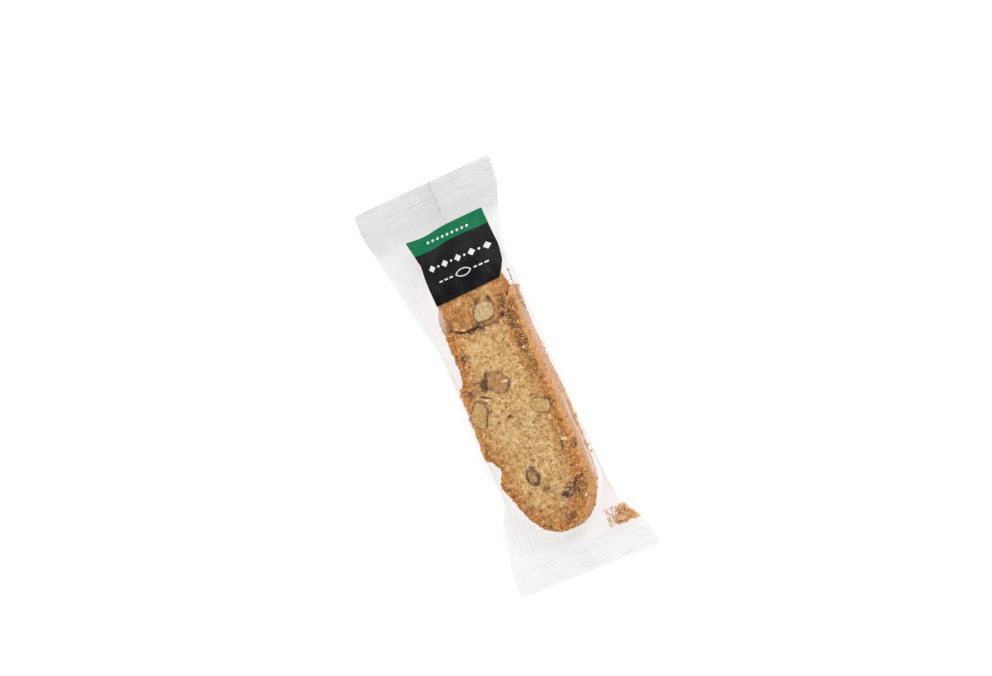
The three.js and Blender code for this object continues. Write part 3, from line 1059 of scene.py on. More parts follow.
# %% Hollows of the cut faces, in millimetres and degrees
BODY_HOLLOWS = [
    (-0.8, 25.9, 2.8, 1.3, 6, 2.2),     # the open part of the crack
    (-6.0, 0.8, 3.0, 2.3, 75, 2.0),     # where an almond has dropped out
    (-7.2, -4.4, 2.8, 0.4, -32, 1.1),   # torn lines beside the side almond
    (-8.1, -7.0, 1.5, 0.45, -60, 0.9),
    (-5.1, -7.4, 0.6, 0.5, 0, 0.7),
    (12.8, -10.9, 1.0, 0.5, -20, 0.8),
    (17.1, -36.8, 2.6, 0.8, 80, 1.3),   # crack on the right near the foot
    (15.9, -38.6, 1.1, 0.6, 60, 0.9),
    (16.9, -53.5, 1.2, 0.5, -40, 0.9),  # cracks that run into the foot's skin
    (20.0, -52.7, 1.4, 0.6, -50, 0.9),
    (9.4, -59.4, 0.8, 0.6, 0, 0.8),
    (0.5, 12.3, 1.1, 0.7, 20, 0.7),
    (7.4, 19.1, 1.3, 0.8, -30, 0.6),
    (-0.6, -16.4, 1.2, 1.0, 0, 1.3),
    (-6.4, -17.4, 1.0, 0.5, 60, 0.9),
    (-7.9, -11.1, 0.8, 0.6, 0, 0.9),
    (0.1, -11.7, 0.8, 0.5, 30, 0.7),
    (3.3, -8.3, 0.7, 0.6, 0, 0.7),
    (11.7, -21.2, 0.9, 0.8, 0, 0.7),
    (8.9, -22.8, 0.9, 0.6, 40, 0.6),
    (-0.6, -29.7, 1.3, 0.6, 0, 0.6),
    (-5.2, -34.0, 1.1, 0.7, 0, 0.7),
    (1.1, -38.6, 1.0, 0.6, 0, 0.9),
    (9.3, -5.6, 0.9, 0.6, 40, 0.6),
    (2.4, -32.9, 1.0, 0.6, -20, 0.8),
    (9.3, -41.8, 1.0, 0.6, 30, 0.7),
    (17.0, -47.2, 1.0, 0.7, 0, 0.7),
    (-5.2, -39.9, 0.8, 0.5, 0, 0.6),
    (-9.4, 15.6, 2.2, 0.8, 80, 0.5),
]
HEAD_HOLLOWS = [
    (-0.4, 26.3, 2.6, 0.9, 4, 1.4),     # the open part of the crack
    (12.6, 36.3, 1.3, 0.9, -30, 1.0),   # dark corners beside the almond
    (6.2, 36.6, 1.2, 0.5, 10, 0.7),
    (19.0, 31.6, 0.9, 1.8, 20, 0.5),
]

# %% Scorched spots, and painted shade
BODY_SCORCH_AND_SHADE = [
    (-6.0, 0.8, 3.4, 2.7, 75, 1.0),
    (-9.8, 15.8, 3.4, 1.5, 80, 1.0),
    (21.0, 25.0, 5.0, 1.2, -80, 0.7),
    # Painted shade on the biscuit's corner beside the head piece.
    (22.6, 30.2, 3.2, 1.8, -70, 0.6),
    (-11.0, 0.4, 4.2, 1.1, -55, 0.5),
    (15.9, 0.7, 1.2, 0.9, 0, 0.5),
    (18.8, 20.5, 1.6, 1.3, 0, 0.85),
    (20.0, 13.5, 5.4, 1.9, -83, 1.0),
    (18.6, 23.0, 9.0, 3.2, -80, 1.0),
    (18.6, 12.0, 8.5, 2.8, -86, 0.95),
    (20.0, 2.0, 7.0, 2.0, -88, 0.75),
    # Painted shadow along the crack, below the head piece's edge.
    (9.6, 25.4, 4.0, 0.9, 0, 0.9),
    (15.7, 26.6, 2.4, 1.3, 10, 1.0),
    # Painted shadow along the crust's edge beside the right almond.
    (20.3, -18.6, 5.2, 1.1, 84, 0.75),
    (18.8, -2.0, 6.0, 1.4, -80, 0.45),
    (16.8, -31.0, 7.0, 1.4, -85, 0.4),
    (2.6, -53.0, 3.2, 2.2, -20, 0.6),
    (4.0, -57.5, 2.4, 1.6, 20, 0.55),
    (7.0, -67.6, 5.0, 3.0, 0, 0.6),
    (19.0, -55.4, 4.0, 2.2, -60, 0.6),
    (17.0, -61.0, 3.4, 2.2, -50, 0.5),
    (-3.0, -66.0, 4.6, 1.8, -30, 0.5),
    (8.6, -57.9, 1.4, 1.1, 0, 0.8),
    (-9.6, -58.0, 4.2, 1.4, -62, 0.5),
    (-17.0, -27.0, 3.2, 1.4, 60, 0.5),
    (3.6, 22.8, 2.4, 1.2, -20, 0.3),
]
HEAD_SCORCH_AND_SHADE = [
    (-3.3, 30.8, 2.2, 1.6, 0, 0.8),
    (17.4, 31.3, 3.0, 2.4, 60, 1.0),
    (15.7, 27.4, 2.4, 1.2, 10, 1.0),
    (18.5, 35.7, 1.6, 1.0, 0, 0.7),
    (2.1, 35.4, 1.0, 0.7, 0, 0.7),
    (-5.6, 34.0, 3.0, 1.4, 30, 0.35),
    (9.0, 38.6, 4.0, 1.2, 0, 0.35),
    # Painted shadow along the crack.
    (9.6, 27.6, 4.0, 1.0, 12, 0.9),
]

# %% Scraps of almond skin, and painted shade in the crack
BODY_SKINS_AND_CRACK_SHADE = [
    (12.6, -57.3, 6.0, 3.9, 24, 1.0),
    (15.8, -54.8, 3.4, 1.5, 50, 1.0),
    (18.8, -52.8, 3.6, 1.0, 14, 0.9),
    (-13.4, -0.3, 3.2, 1.5, -48, 0.9),
    (-3.4, 5.1, 2.0, 0.9, 50, 1.0),
    (-9.9, 15.8, 2.8, 1.2, 80, 0.7),
    (21.8, -38.3, 2.8, 1.5, 75, 0.95),
    (15.7, 26.6, 1.9, 0.9, 10, 0.85),
    (4.2, 25.7, 3.0, 1.8, -10, 1.0),
    (-7.4, -4.5, 3.1, 0.6, -32, 1.0),
    # The next two are painted shade: the dark of the crack's open part.
    (-8.6, 28.2, 3.8, 1.0, -24, 1.0),
    (-3.2, 26.2, 2.9, 1.1, -6, 1.0),
]
HEAD_SKINS_AND_CRACK_SHADE = [
    (4.2, 27.0, 3.0, 1.6, -12, 1.0),
    # The next two are painted shade: the dark of the crack's open part.
    (-7.4, 28.2, 3.4, 0.6, -28, 0.9),
    (-0.6, 26.5, 3.2, 0.6, 0, 1.0),
    (15.7, 27.6, 1.8, 0.9, 10, 0.8),
    (12.6, 36.3, 1.5, 1.1, -30, 1.0),
    (6.2, 36.6, 1.3, 0.6, 10, 0.8),
    (16.0, 28.2, 2.6, 0.6, 8, 0.8),
]


# %% Random relief and placed spots
def wobble(points, size, shift=0.0):
    return np.array([noise.noise(Vector(p) / size + Vector((shift, 0, 0))) for p in points])


def oval_reach(points, x, y, length, width, turn):
    """Distance from a turned oval's middle, 1 on its line."""
    c, s = math.cos(math.radians(turn)), math.sin(math.radians(turn))
    dx, dy = points[:, 0] - x, points[:, 1] - y
    return np.hypot((dx * c + dy * s) / length, (dy * c - dx * s) / width)


def spots(points, rows, ragged, soft):
    """The strongest of several ovals at each point of the front, with ragged, soft edges."""
    strength = np.zeros(len(points))
    for *oval_row, most in rows:
        reach = oval_reach(points, *oval_row) + ragged
        strength = np.maximum(strength, most * smoothstep(1.1 - reach, 0, soft))
    return strength * (points[:, 2] > FACE_HEIGHT - 3.5)


def bubble_pits(points, size, radius, shift):
    """How deep each point lies in the bubbles of one size, from 0 to 1."""
    pits = np.zeros(len(points))
    for i, p in enumerate(points):
        distances, centres = noise.voronoi((p[0] / size + shift, p[1] / size, p[2] / size))
        open_share = noise.cell(centres[0] * 5.3)
        reach = radius * abs(open_share)
        if distances[0] < reach:
            pits[i] = math.sqrt(1 - distances[0] / reach)
    return pits


def crag(points, size, octaves, shift):
    return np.array([
        noise.fractal(Vector(p) / size + Vector((shift, 0, 0)), 0.8, 2.1, octaves) for p in points])


# %% Shape the crumb
CRAG_DEPTH, CRAG_SIZE = 0.42, 2.8
GRAIN_DEPTH, GRAIN_SIZE = 0.2, 0.95
MOST_RELIEF, MOST_RELIEF_LEFT = 0.42, 1.0  # the film is close on the front and right, not on the left
BUBBLES = [(3.2, 0.28, 0.7), (1.5, 0.36, 0.4)]  # cell size, largest radius in cells, depth
ALMOND_BED = 0.6  # how far the crumb is pressed down under an almond


def shape_crumb(piece, marks, almonds, shift):
    """Moves the vertices and sets the masks. marks holds the hollows, the scorched and shaded spots, and
    the skins.
    """
    mesh = piece.data
    points, normals = positions(mesh), vertex_normals(mesh)
    cut_face = smoothstep(np.abs(normals[:, 2]), 0.55, 0.9)
    hollows, scorched_and_shaded, skins_and_crack_shade = marks
    coarse, fine = crag(points, CRAG_SIZE, 3, shift), crag(points, GRAIN_SIZE, 2, shift + 9)
    relief = CRAG_DEPTH * coarse + GRAIN_DEPTH * fine
    pore_shade = np.zeros(len(points))
    for size, radius, depth in BUBBLES:
        bubbles = bubble_pits(points, size, radius, shift) * (0.35 + 0.65 * cut_face)
        relief -= depth * bubbles
        pore_shade = np.maximum(pore_shade, 0.75 * bubbles)
    ragged = wobble(points, 1.2)
    deep = spots(points, hollows, 0.35 * ragged, 0.55)
    relief -= deep * cut_face
    for outline in almonds:
        relief -= ALMOND_BED * (1 - smoothstep(outline_reach(points, outline), 1.02, 1.18)) * cut_face
    # Painted shade in the bubbles and hollows.
    set_mask(mesh, "pore_shade", np.maximum(pore_shade, smoothstep(deep, 0.1, 1.2)))
    # Painted light and shade: how high the crag stands.
    set_mask(mesh, "crag_shading", 0.5 + 0.3 * coarse + 0.35 * fine)
    set_mask(mesh, "scorch_and_shade", spots(points, scorched_and_shaded, 0.5 * wobble(points, 1.6, 5.0), 0.8))
    set_mask(mesh, "skin", spots(points, skins_and_crack_shade, 0.65 * ragged, 0.45))
    on_left = (1 - cut_face) * smoothstep(-points[:, 0], 4, 9)
    limit = MOST_RELIEF + (MOST_RELIEF_LEFT - MOST_RELIEF) * on_left
    relief += 0.7 * on_left * np.maximum(fine + 0.6 * coarse, 0)
    set_positions(mesh, points + normals * np.minimum(relief, limit)[:, None])


BODY_ALMONDS = [ALMOND_MIDDLE, ALMOND_SIDE, ALMOND_RIGHT, ALMOND_RING]
shape_crumb(body, (BODY_HOLLOWS, BODY_SCORCH_AND_SHADE, BODY_SKINS_AND_CRACK_SHADE), BODY_ALMONDS, 0.0)
shape_crumb(head_piece, (HEAD_HOLLOWS, HEAD_SCORCH_AND_SHADE, HEAD_SKINS_AND_CRACK_SHADE), [ALMOND_HEAD], 31.7)
for piece in (body, head_piece):
    heights = positions(piece.data)[:, 2]
    print(f"{piece.name}: from {heights.min():.2f} to {heights.max():.2f} mm high")

# %% [markdown]
# Toasting is strongest at the edge of the cut face, where the crust was cut through, and fades over a
# few millimetres of crumb. Below that edge the side of the slice is baked paler. So the browning
# follows one measure: how far a place lies inside or outside the edge of the face.

# %% How far a place lies beyond the baked edge
CRACK_BAND = (23.8, 30.2)  # the part of the outlines that is broken, not baked
CRACK_ENDS = (-10.0, 19.3)


def inside_loop(points, loop):
    """Whether each point is inside a loop: a line from it crosses the loop an odd number of times."""
    x, y = points[:, 0], points[:, 1]
    inside = np.zeros(len(points), bool)
    for (x0, y0), (x1, y1) in zip(loop, np.roll(loop, -1, 0)):
        level = (y0 > y) != (y1 > y)
        inside ^= level & (x < x0 + (y - y0) / ((y1 - y0) or 1) * (x1 - x0))
    return inside


def distance_to(points, samples):
    nearest = np.full(len(points), 99.0)
    for x, y in samples:
        nearest = np.minimum(nearest, np.hypot(points[:, 0] - x, points[:, 1] - y))
    return nearest


def beyond_face(points, outline):
    """How far each point lies outside the baked edge of the front face in plan, negative inside."""
    loop = smooth_loop(outline, LOOP_SAMPLES)[:, :2]
    in_band = (loop[:, 1] > CRACK_BAND[0]) & (loop[:, 1] < CRACK_BAND[1])
    between_ends = (loop[:, 0] > CRACK_ENDS[0]) & (loop[:, 0] < CRACK_ENDS[1])
    broken = in_band & between_ends
    to_baked, to_broken = distance_to(points, loop[~broken]), distance_to(points, loop[broken])
    outside = ~inside_loop(points, loop) & (to_baked < to_broken + 0.3)
    return np.where(outside, to_baked, -to_baked)


# %% Toasting
# Where the toasted band along the right side begins: y, x.
TOASTED_RIGHT = [
    (32, 13.5), (22, 15.5), (10, 15.5), (-5, 15), (-18, 18.5), (-28, 16.5), (-42, 15.5), (-50, 14.5),
    (-58, 11.5), (-66, 6), (-74, 0),
]


def pressed_edge(x, y, beyond):
    """1 along the part of the left edge where the film lies tight, which takes the pale side colour."""
    beside = smoothstep(y, -32, -25) * smoothstep(4 - y, 0, 5) * smoothstep(-x, 13, 15)
    return beside * smoothstep(beyond, -2.0, -0.5)


def toast(piece, outline, reach, strength, side_from, extra):
    """Sets the toast and side masks. extra adds browning of the piece's own."""
    points = positions(piece.data)
    ragged = wobble(points, 2.7)
    beyond = beyond_face(points, outline)
    low = smoothstep(beyond + 0.4 * wobble(points, 1.3, 8.0), side_from, side_from + 0.9)
    low = np.maximum(low, 0.85 * pressed_edge(points[:, 0], points[:, 1], beyond + 0.5 * ragged))
    inset = np.minimum(beyond, 0)
    rim = strength * smoothstep(reach + inset + 0.45 * reach * ragged, 0, 0.7 * reach)
    wide = 0.55 * strength * smoothstep(2 * reach + inset + 3 * ragged, 0, 1.2 * reach)
    browned = np.maximum.reduce([rim, wide, extra(points[:, 0], points[:, 1], ragged)])
    under = 1 - smoothstep(points[:, 2], 1, 6)
    set_mask(piece.data, "toast", np.maximum(browned, 0.7 * under))
    set_mask(piece.data, "side", 0.9 * low * (1 - 0.6 * under))


def body_extra(x, y, ragged):
    right = smoothstep(x - along(TOASTED_RIGHT, y) + 2.8 * ragged, -2, 3.5)
    foot = 0.6 * smoothstep(-y + 4 * ragged, 55, 66)
    return np.maximum.reduce([right, foot, 0.35 * smoothstep(y + 1.3 * ragged, 16, 27)])


def head_extra(x, _, ragged):
    return 0.3 * smoothstep(-x + 2.2 * ragged, -9, 0)


toast(body, BODY_OUTLINE, 4.6, 1.0, 0.8, body_extra)
toast(head_piece, HEAD_OUTLINE, 4.2, 0.35, 0.5, head_extra)
finish_piece(body)
finish_piece(head_piece)

# %% [markdown]
# ## Almonds cut across
# Each cut almond shows as a smooth, pale patch flush with the cut, with its dry brown skin as a thin
# dark rim. It is a shallow lens: rings that shrink from its outline to its middle, closer together
# near the edge, with the outermost ones turned down into the crumb and a mask for the skin.

# %% Almond finish
# Pale, warm and dark flesh of each kind.
ALMOND_TONES = {
    "cream": ((0.7, 0.54, 0.33), (0.58, 0.41, 0.19), (0.48, 0.31, 0.12)),
    "brown": ((0.56, 0.34, 0.13), (0.43, 0.215, 0.065), (0.37, 0.16, 0.045)),
    "tan": ((0.62, 0.45, 0.21), (0.54, 0.33, 0.11), (0.5, 0.2, 0.05)),
    "green": ((0.66, 0.49, 0.21), (0.56, 0.37, 0.115), (0.52, 0.23, 0.055)),
    "olive": ((0.62, 0.4, 0.15), (0.46, 0.24, 0.065), (0.28, 0.12, 0.035)),
    "chip_and_highlight": ((0.95, 0.76, 0.47), (0.86, 0.62, 0.32), (0.7, 0.46, 0.2)),
}


def almond_material(kind):
    """Almond flesh in three tones, with dry skin where the skin mask says so."""
    pale, warm, dark = ALMOND_TONES[kind]
    material, tree, shader = new_material(f"almond_{kind}", 0.55, 0.35)
    place = object_coordinates(tree)
    flesh = three_tones(tree, noise_texture(tree, 560, 5, 0.75, place), dark, warm, pale, 0.06)
    mottle = map_range(tree, noise_texture(tree, 1500, 3, 0.6, place), 0.35, 0.6, 0.65, 1)
    gaps = map_range(tree, noise_texture(tree, 330, 2, 0.5, place), 0.38, 0.5, 0.4, 1)
    skin = maths(tree, "MULTIPLY", read_mask(tree, "skin"), maths(tree, "MULTIPLY", mottle, gaps))
    wire(tree, mix_colour(tree, skin, flesh, SKIN_BROWN), shader.inputs["Base Color"])
    wire_bump(tree, shader, noise_texture(tree, 700, 4, 0.6, place), 0.5, 0.0004)
    return material


# %% The form of a cut almond
ALMOND_SPOKES = 60
ALMOND_RINGS = [0, 0.2, 0.4, 0.58, 0.72, 0.82, 0.89, 0.94, 0.97, 1]
ALMOND_SINKS = [(0.985, 0.7), (0.95, 2.2)]  # the turned-down rim: share of the outline, depth
SKIN_WIDTH = 0.62


def cut_almond(outline, lift, seed):
    """Points, skin mask and faces of one almond cut across, from rows of x, y and share of skin."""
    count = min(ALMOND_SPOKES, 3 * len(outline))
    loop = smooth_loop(outline, count)[::-1]
    middle = loop[:, :2].mean(0)
    ragged = field(loop[:, 0] / 0.9 + 7 * seed, loop[:, 1] / 0.9, 42)
    spokes = (loop[:, :2] - middle) * (1 + 0.06 * ragged[:, None])
    bare = np.clip(1 - loop[:, 2] - 0.6 * field(loop[:, 0] / 0.7, loop[:, 1] / 0.7, 43), -2, 1)
    reach = np.hypot(*spokes.T)
    points, skin = [], []
    for r in ALMOND_RINGS:
        place = middle + spokes * r
        uneven = 0.15 * field(place[:, 0] / 1.6 + 7 * seed, place[:, 1] / 1.6, 41)
        points.append(np.column_stack([place, FACE_HEIGHT + lift * (1 - 0.6 * r * r) + uneven]))
        skin.append(smoothstep(SKIN_WIDTH * (1 - bare) - (1 - r) * reach, -0.1, 0.16) * (1 - 0.6 * bare))
    for share, depth in ALMOND_SINKS:
        points.append(np.column_stack([middle + spokes * share, np.full(count, FACE_HEIGHT - depth)]))
        skin.append(skin[len(ALMOND_RINGS) - 1])
    rings = len(points)
    faces = ring_faces(rings, count)
    faces.append(tuple(range((rings - 1) * count, rings * count))[::-1])
    return np.concatenate(points), np.concatenate(skin), faces


# %% Build the almonds
def almond_piece(name, cuts, material):
    """One piece from one or more cut almonds."""
    points, skin, faces = [], [], []
    for cut in cuts:
        new_points, new_skin, new_faces = cut_almond(*cut)
        faces += [tuple(len(points) + i for i in face) for face in new_faces]
        points += new_points.tolist()
        skin += new_skin.tolist()
    piece = make_piece(name, points, faces, material)
    set_mask(piece.data, "skin", np.array(skin))
    weld = piece.modifiers.new("close_middle", "WELD")
    weld.merge_threshold = 0.01 * MM
    flatten_modifiers(piece)
    finish_piece(piece)


# Outline, height above the cut, and kind of flesh.
CUT_ALMONDS = {
    "almond_head": (ALMOND_HEAD, 0.4, "cream"),
    "almond_middle": (ALMOND_MIDDLE, 0.3, "brown"),
    "almond_side": (ALMOND_SIDE, 0.3, "tan"),
    "almond_right": (ALMOND_RIGHT, 0.3, "green"),
    "almond_ring": (ALMOND_RING, 0.2, "olive"),
}
for seed, (name, (outline, lift, kind)) in enumerate(CUT_ALMONDS.items(), 1):
    almond_piece(name, [(outline, lift, seed)], almond_material(kind))

# %% [markdown]
# Twelve pale ovals lie in the cut too: ten chips of broken almond, and two strips along the head
# piece's broken edge that are a painted highlight. Each is an uneven oval, built like a cut almond but
# without skin, and because none of them ever moves on its own they make one piece.

# %% Small pale chips of broken almond, and a painted highlight
# Each row: middle x, y, length, width, turn in degrees, height above the cut.
CHIPS_AND_EDGE_HIGHLIGHTS = [
    (4.2, -0.7, 3.6, 1.3, -10, 0.6), (-7.4, -5.6, 2.6, 1.0, -30, 0.4),
    (-6.9, -7.6, 1.6, 0.8, -50, 0.4), (18.9, -34.8, 3.0, 2.1, -10, 0.5),
    (-15.2, -19.6, 2.2, 1.1, 50, 0.35), (18.6, 10.0, 1.7, 1.0, 20, 0.4),
    # These two are a painted highlight along the head piece's broken edge.
    (-6.9, 29.0, 2.9, 0.7, -31, 0.35), (-4.2, 27.5, 2.6, 0.8, -26, 0.35),
    (17.9, -61.6, 1.5, 0.9, 70, 0.4), (10.8, -56.4, 1.4, 0.7, 10, 0.4),
    (14.0, 24.6, 1.3, 0.7, 20, 0.35), (20.6, 5.4, 1.4, 0.8, -60, 0.4),
]
CHIP_CORNERS = 7
FIRST_CHIP_SEED = len(CUT_ALMONDS) + 1


def chip_outline(x, y, length, width, turn, seed):
    """An uneven oval, given as an almond's outline with no skin."""
    c, s = math.cos(math.radians(turn)), math.sin(math.radians(turn))
    rows = []
    for k in range(CHIP_CORNERS):
        a = 2 * math.pi * k / CHIP_CORNERS
        grow = 1 + 0.3 * noise.noise((seed * 3.7, k * 1.9, 0))
        dx, dy = length / 2 * math.cos(a) * grow, width / 2 * math.sin(a) * grow
        rows.append((x + dx * c - dy * s, y + dx * s + dy * c, 0.0))
    return rows


chip_cuts = [(chip_outline(*place, seed), lift, seed)
             for seed, (*place, lift) in enumerate(CHIPS_AND_EDGE_HIGHLIGHTS, FIRST_CHIP_SEED)]
almond_piece("almond_chips_and_edge_highlights", chip_cuts, almond_material("chip_and_highlight"))

# %% [markdown]
# ## The seam on the back
# The film's two long edges are welded together and folded flat, which leaves a narrow double strip
# down the back. It shows through the clear head end as two faint lines, and it is what the pack rests
# on, so it is its own thin piece just under the back film. Where the head weld runs across it, its
# right edge is pressed into all the layers and shows as a denser line.

# %% Build the seam
SEAM_WIDTH, SEAM_X = 7.0, 0.5
SEAM_GAP, SEAM_THICKNESS = 0.06, 0.16
SEAM_LOWEST = 0.02
SEAM_COLUMNS = 15


def build_seam():
    across = np.linspace(SEAM_X - SEAM_WIDTH / 2, SEAM_X + SEAM_WIDTH / 2, SEAM_COLUMNS)
    rings = []
    for y in film_stations()[::2]:
        ys = np.full(SEAM_COLUMNS, y)
        x = across + 0.25 * ripple(ys / 17, 31)
        upper = back_height(across, ys) - SEAM_GAP
        under = np.maximum(upper - SEAM_THICKNESS, SEAM_LOWEST)
        rings.append(np.concatenate([np.stack([x, ys, upper], 1)[::-1], np.stack([x, ys, under], 1)]))
    faces = capped_faces(len(rings), 2 * SEAM_COLUMNS)
    return make_piece("back_seam", np.concatenate(rings), faces, seam_film)


# %% Mark the seam's edges
SEAM_EDGE_HAZE = 0.07
WELDED_IN = (79, 86)  # y over which the head weld takes the seam in
SEAM_WELD_HAZE, SEAM_IN_WELD = 0.03, 0.2  # of the whole seam there, and of its right edge


def mark_seam(piece):
    """The seam shows by its edges: painted shade down its right one, a painted highlight down its left
    one.
    """
    x, y, _ = positions(piece.data).T
    across = (x - SEAM_X) / (SEAM_WIDTH / 2)
    strong = smoothstep(y, -20, 60) * (0.75 + 0.25 * ripple(y / 5, 33))
    welded_in = smoothstep(y, *WELDED_IN)
    line = smoothstep(across + 0.2 * welded_in, 0.8, 0.95) * strong
    set_mask(piece.data, "line", line)
    set_mask(piece.data, "pale", smoothstep(-across, 0.8, 0.95))
    edges = SEAM_EDGE_HAZE * smoothstep(np.abs(across), 0.8, 0.95) * strong
    set_mask(piece.data, "haze", edges + welded_in * (SEAM_WELD_HAZE + SEAM_IN_WELD * line))


back_seam = build_seam()
mark_seam(back_seam)
finish_piece(back_seam)

# %% [markdown]
# The back of the film carries small print too, which shows faintly through the clear foot. Plain
# short dashes in lines along the pack stand for it, with one row of taller bars beside them.

# %% Faint print on the back
BACK_INK, BACK_INK_WORN = (0.32, 0.31, 0.31), (0.42, 0.41, 0.41)
BACK_INK_ALPHA = 0.09
BACK_PRINT_LIFT = 0.06
BACK_LINES_X = [-26.6, -24.4, -22.2, -20.0, -17.8, -15.6, -13.4]
BACK_LINES_START, BACK_LINES_END = -52.0, -77.0
BACK_BARS_X, BACK_BARS_Y = np.arange(-11, 6, 2.1), -78.0


def faint_ink_material():
    material, tree, shader = new_material("faint_ink", 0.5, 0.2)
    worn = map_range(tree, noise_texture(tree, 700, 3, 0.6), 0.4, 0.65, 0, 1)
    wire(tree, mix_colour(tree, worn, BACK_INK, BACK_INK_WORN), shader.inputs["Base Color"])
    shader.inputs["Alpha"].default_value = BACK_INK_ALPHA
    return material


def back_print_marks():
    """Lines of dashes, each starting a little lower than the next, then a row of bars."""
    chance = np.random.default_rng(21)
    marks = []
    for x in BACK_LINES_X:
        y = BACK_LINES_START + 0.55 * x
        while y > BACK_LINES_END:
            length = chance.uniform(0.9, 3.0)
            marks.append(filled(bar(x, y - length / 2, 1.0, length)))
            y -= length + chance.uniform(0.5, 0.9)
    return marks + [filled(bar(x, BACK_BARS_Y, chance.uniform(0.7, 1.5), 2.4)) for x in BACK_BARS_X]


def back_print_height(x, y):
    return back_height(x, y) + BACK_PRINT_LIFT


back_print = lay_marks("back_print", back_print_marks(), back_print_height, faint_ink_material())
finish_piece(back_print)

# %% [markdown]
# ## Loose crumbs
# Crumbs repeat by the hundred, so Geometry Nodes scatter them: points on a hidden bed surface, one of
# four rough grains on each, turned and sized at random by a fixed seed. The instances are realised
# and the bed is left out, so only real grains remain.

# %% One rough grain
GRAIN_LUMPS, GRAIN_UNEVENNESS = 1.7, 1.5  # lumps across a grain, and how far they push it


def rough_grain(tree, number, subdivisions):
    """One rough grain of unit size, different for each number."""
    ball = add_node(tree, "GeometryNodeMeshIcoSphere", {"Radius": 0.5, "Subdivisions": subdivisions})
    lumps = {"W": 3.1 * number, "Scale": GRAIN_LUMPS, "Detail": 1.0}
    shape = add_node(tree, "ShaderNodeTexNoise", lumps, noise_dimensions="4D")
    centred = add_node(tree, "ShaderNodeVectorMath", operation="SUBTRACT")
    centred.inputs[1].default_value = (0.5, 0.5, 0.5)
    wire(tree, shape.outputs["Color"], centred.inputs[0])
    stronger = add_node(tree, "ShaderNodeVectorMath", {"Scale": GRAIN_UNEVENNESS}, operation="SCALE")
    wire(tree, centred.outputs[0], stronger.inputs[0])
    moved = add_node(tree, "GeometryNodeSetPosition")
    wire(tree, ball.outputs["Mesh"], moved.inputs["Geometry"])
    wire(tree, stronger.outputs[0], moved.inputs["Offset"])
    single = add_node(tree, "GeometryNodeGeometryToInstance")
    wire(tree, moved.outputs["Geometry"], single.inputs["Geometry"])
    return single.outputs["Instances"]


# %% The scatter tree
GRAIN_SHAPES = 4


def random_value(tree, kind, low, high, seed):
    node = add_node(tree, "FunctionNodeRandomValue", data_type=kind)
    for name, value in (("Min", low), ("Max", high)):
        socket = next(s for s in node.inputs if s.name == name and s.enabled)
        if isinstance(value, (float, tuple)):
            socket.default_value = value
        else:
            wire(tree, value, socket)
    node.inputs["Seed"].default_value = seed
    return next(s for s in node.outputs if s.enabled)


def scatter_tree(name, subdivisions, mask=None):
    """Grains on a surface: density, smallest and largest size, seed and material are its inputs."""
    takes = [("Bed", "Geometry"), ("Density", "Float"), ("Smallest", "Float"), ("Largest", "Float"),
             ("Seed", "Int"), ("Finish", "Material")]
    tree, given, results = new_group("GeometryNodeTree", name, takes, [("Grains", "Geometry")])
    density = given["Density"]
    if mask:
        weight = add_node(tree, "GeometryNodeInputNamedAttribute", {"Name": mask})
        density = maths(tree, "MULTIPLY", weight.outputs[0], density)
    spread = add_node(tree, "GeometryNodeDistributePointsOnFaces")
    wire(tree, given["Bed"], spread.inputs["Mesh"])
    wire(tree, density, spread.inputs["Density"])
    wire(tree, given["Seed"], spread.inputs["Seed"])
    shapes = add_node(tree, "GeometryNodeJoinGeometry")
    for number in range(GRAIN_SHAPES):
        wire(tree, rough_grain(tree, number, subdivisions), shapes.inputs["Geometry"])
    placed = add_node(tree, "GeometryNodeInstanceOnPoints", {"Pick Instance": True})
    wire(tree, spread.outputs["Points"], placed.inputs["Points"])
    wire(tree, shapes.outputs["Geometry"], placed.inputs["Instance"])
    turns = random_value(tree, "FLOAT_VECTOR", (0.0, 0.0, 0.0), (math.tau,) * 3, 1)
    wire(tree, turns, placed.inputs["Rotation"])
    sizes = random_value(tree, "FLOAT", given["Smallest"], given["Largest"], 2)
    wire(tree, sizes, placed.inputs["Scale"])
    real = add_node(tree, "GeometryNodeRealizeInstances")
    finish = add_node(tree, "GeometryNodeSetMaterial")
    wire(tree, placed.outputs["Instances"], real.inputs["Geometry"])
    wire(tree, real.outputs["Geometry"], finish.inputs["Geometry"])
    wire(tree, given["Finish"], finish.inputs["Material"])
    wire(tree, finish.outputs["Geometry"], results["Grains"])
    return tree


# %% Scatter grains over a bed
def only_material(mesh, material):
    """Leaves one material slot: the scatter puts an empty one before that of the grains."""
    mesh.materials.clear()
    mesh.materials.append(material)
    mesh.polygons.foreach_set("material_index", [0] * len(mesh.polygons))


def scatter(name, bed_mesh, tree, density, smallest, largest, seed, material):
    """Grains over a bed mesh as one plain piece. Density is in grains for each square millimetre."""
    piece = link(name, bed_mesh)
    modifier = piece.modifiers.new("grains", "NODES")
    modifier.node_group = tree
    values = {"Density": density / MM**2, "Smallest": smallest * MM, "Largest": largest * MM,
              "Seed": seed, "Finish": material}
    for item in tree.interface.items_tree:
        if item.item_type == "SOCKET" and item.name in values:
            modifier[item.identifier] = values[item.name]
    flatten_modifiers(piece)
    only_material(piece.data, material)
    return piece


# %% [markdown]
# No two crumbs have the same shade, since each broke off pale crumb or brown crust. The finish reads a
# coarse noise at each grain's own place, so one material gives a whole heap its mixed browns. Three
# sets of tones serve the loose crumbs, the grains on the crust and the dark ones by the panel.

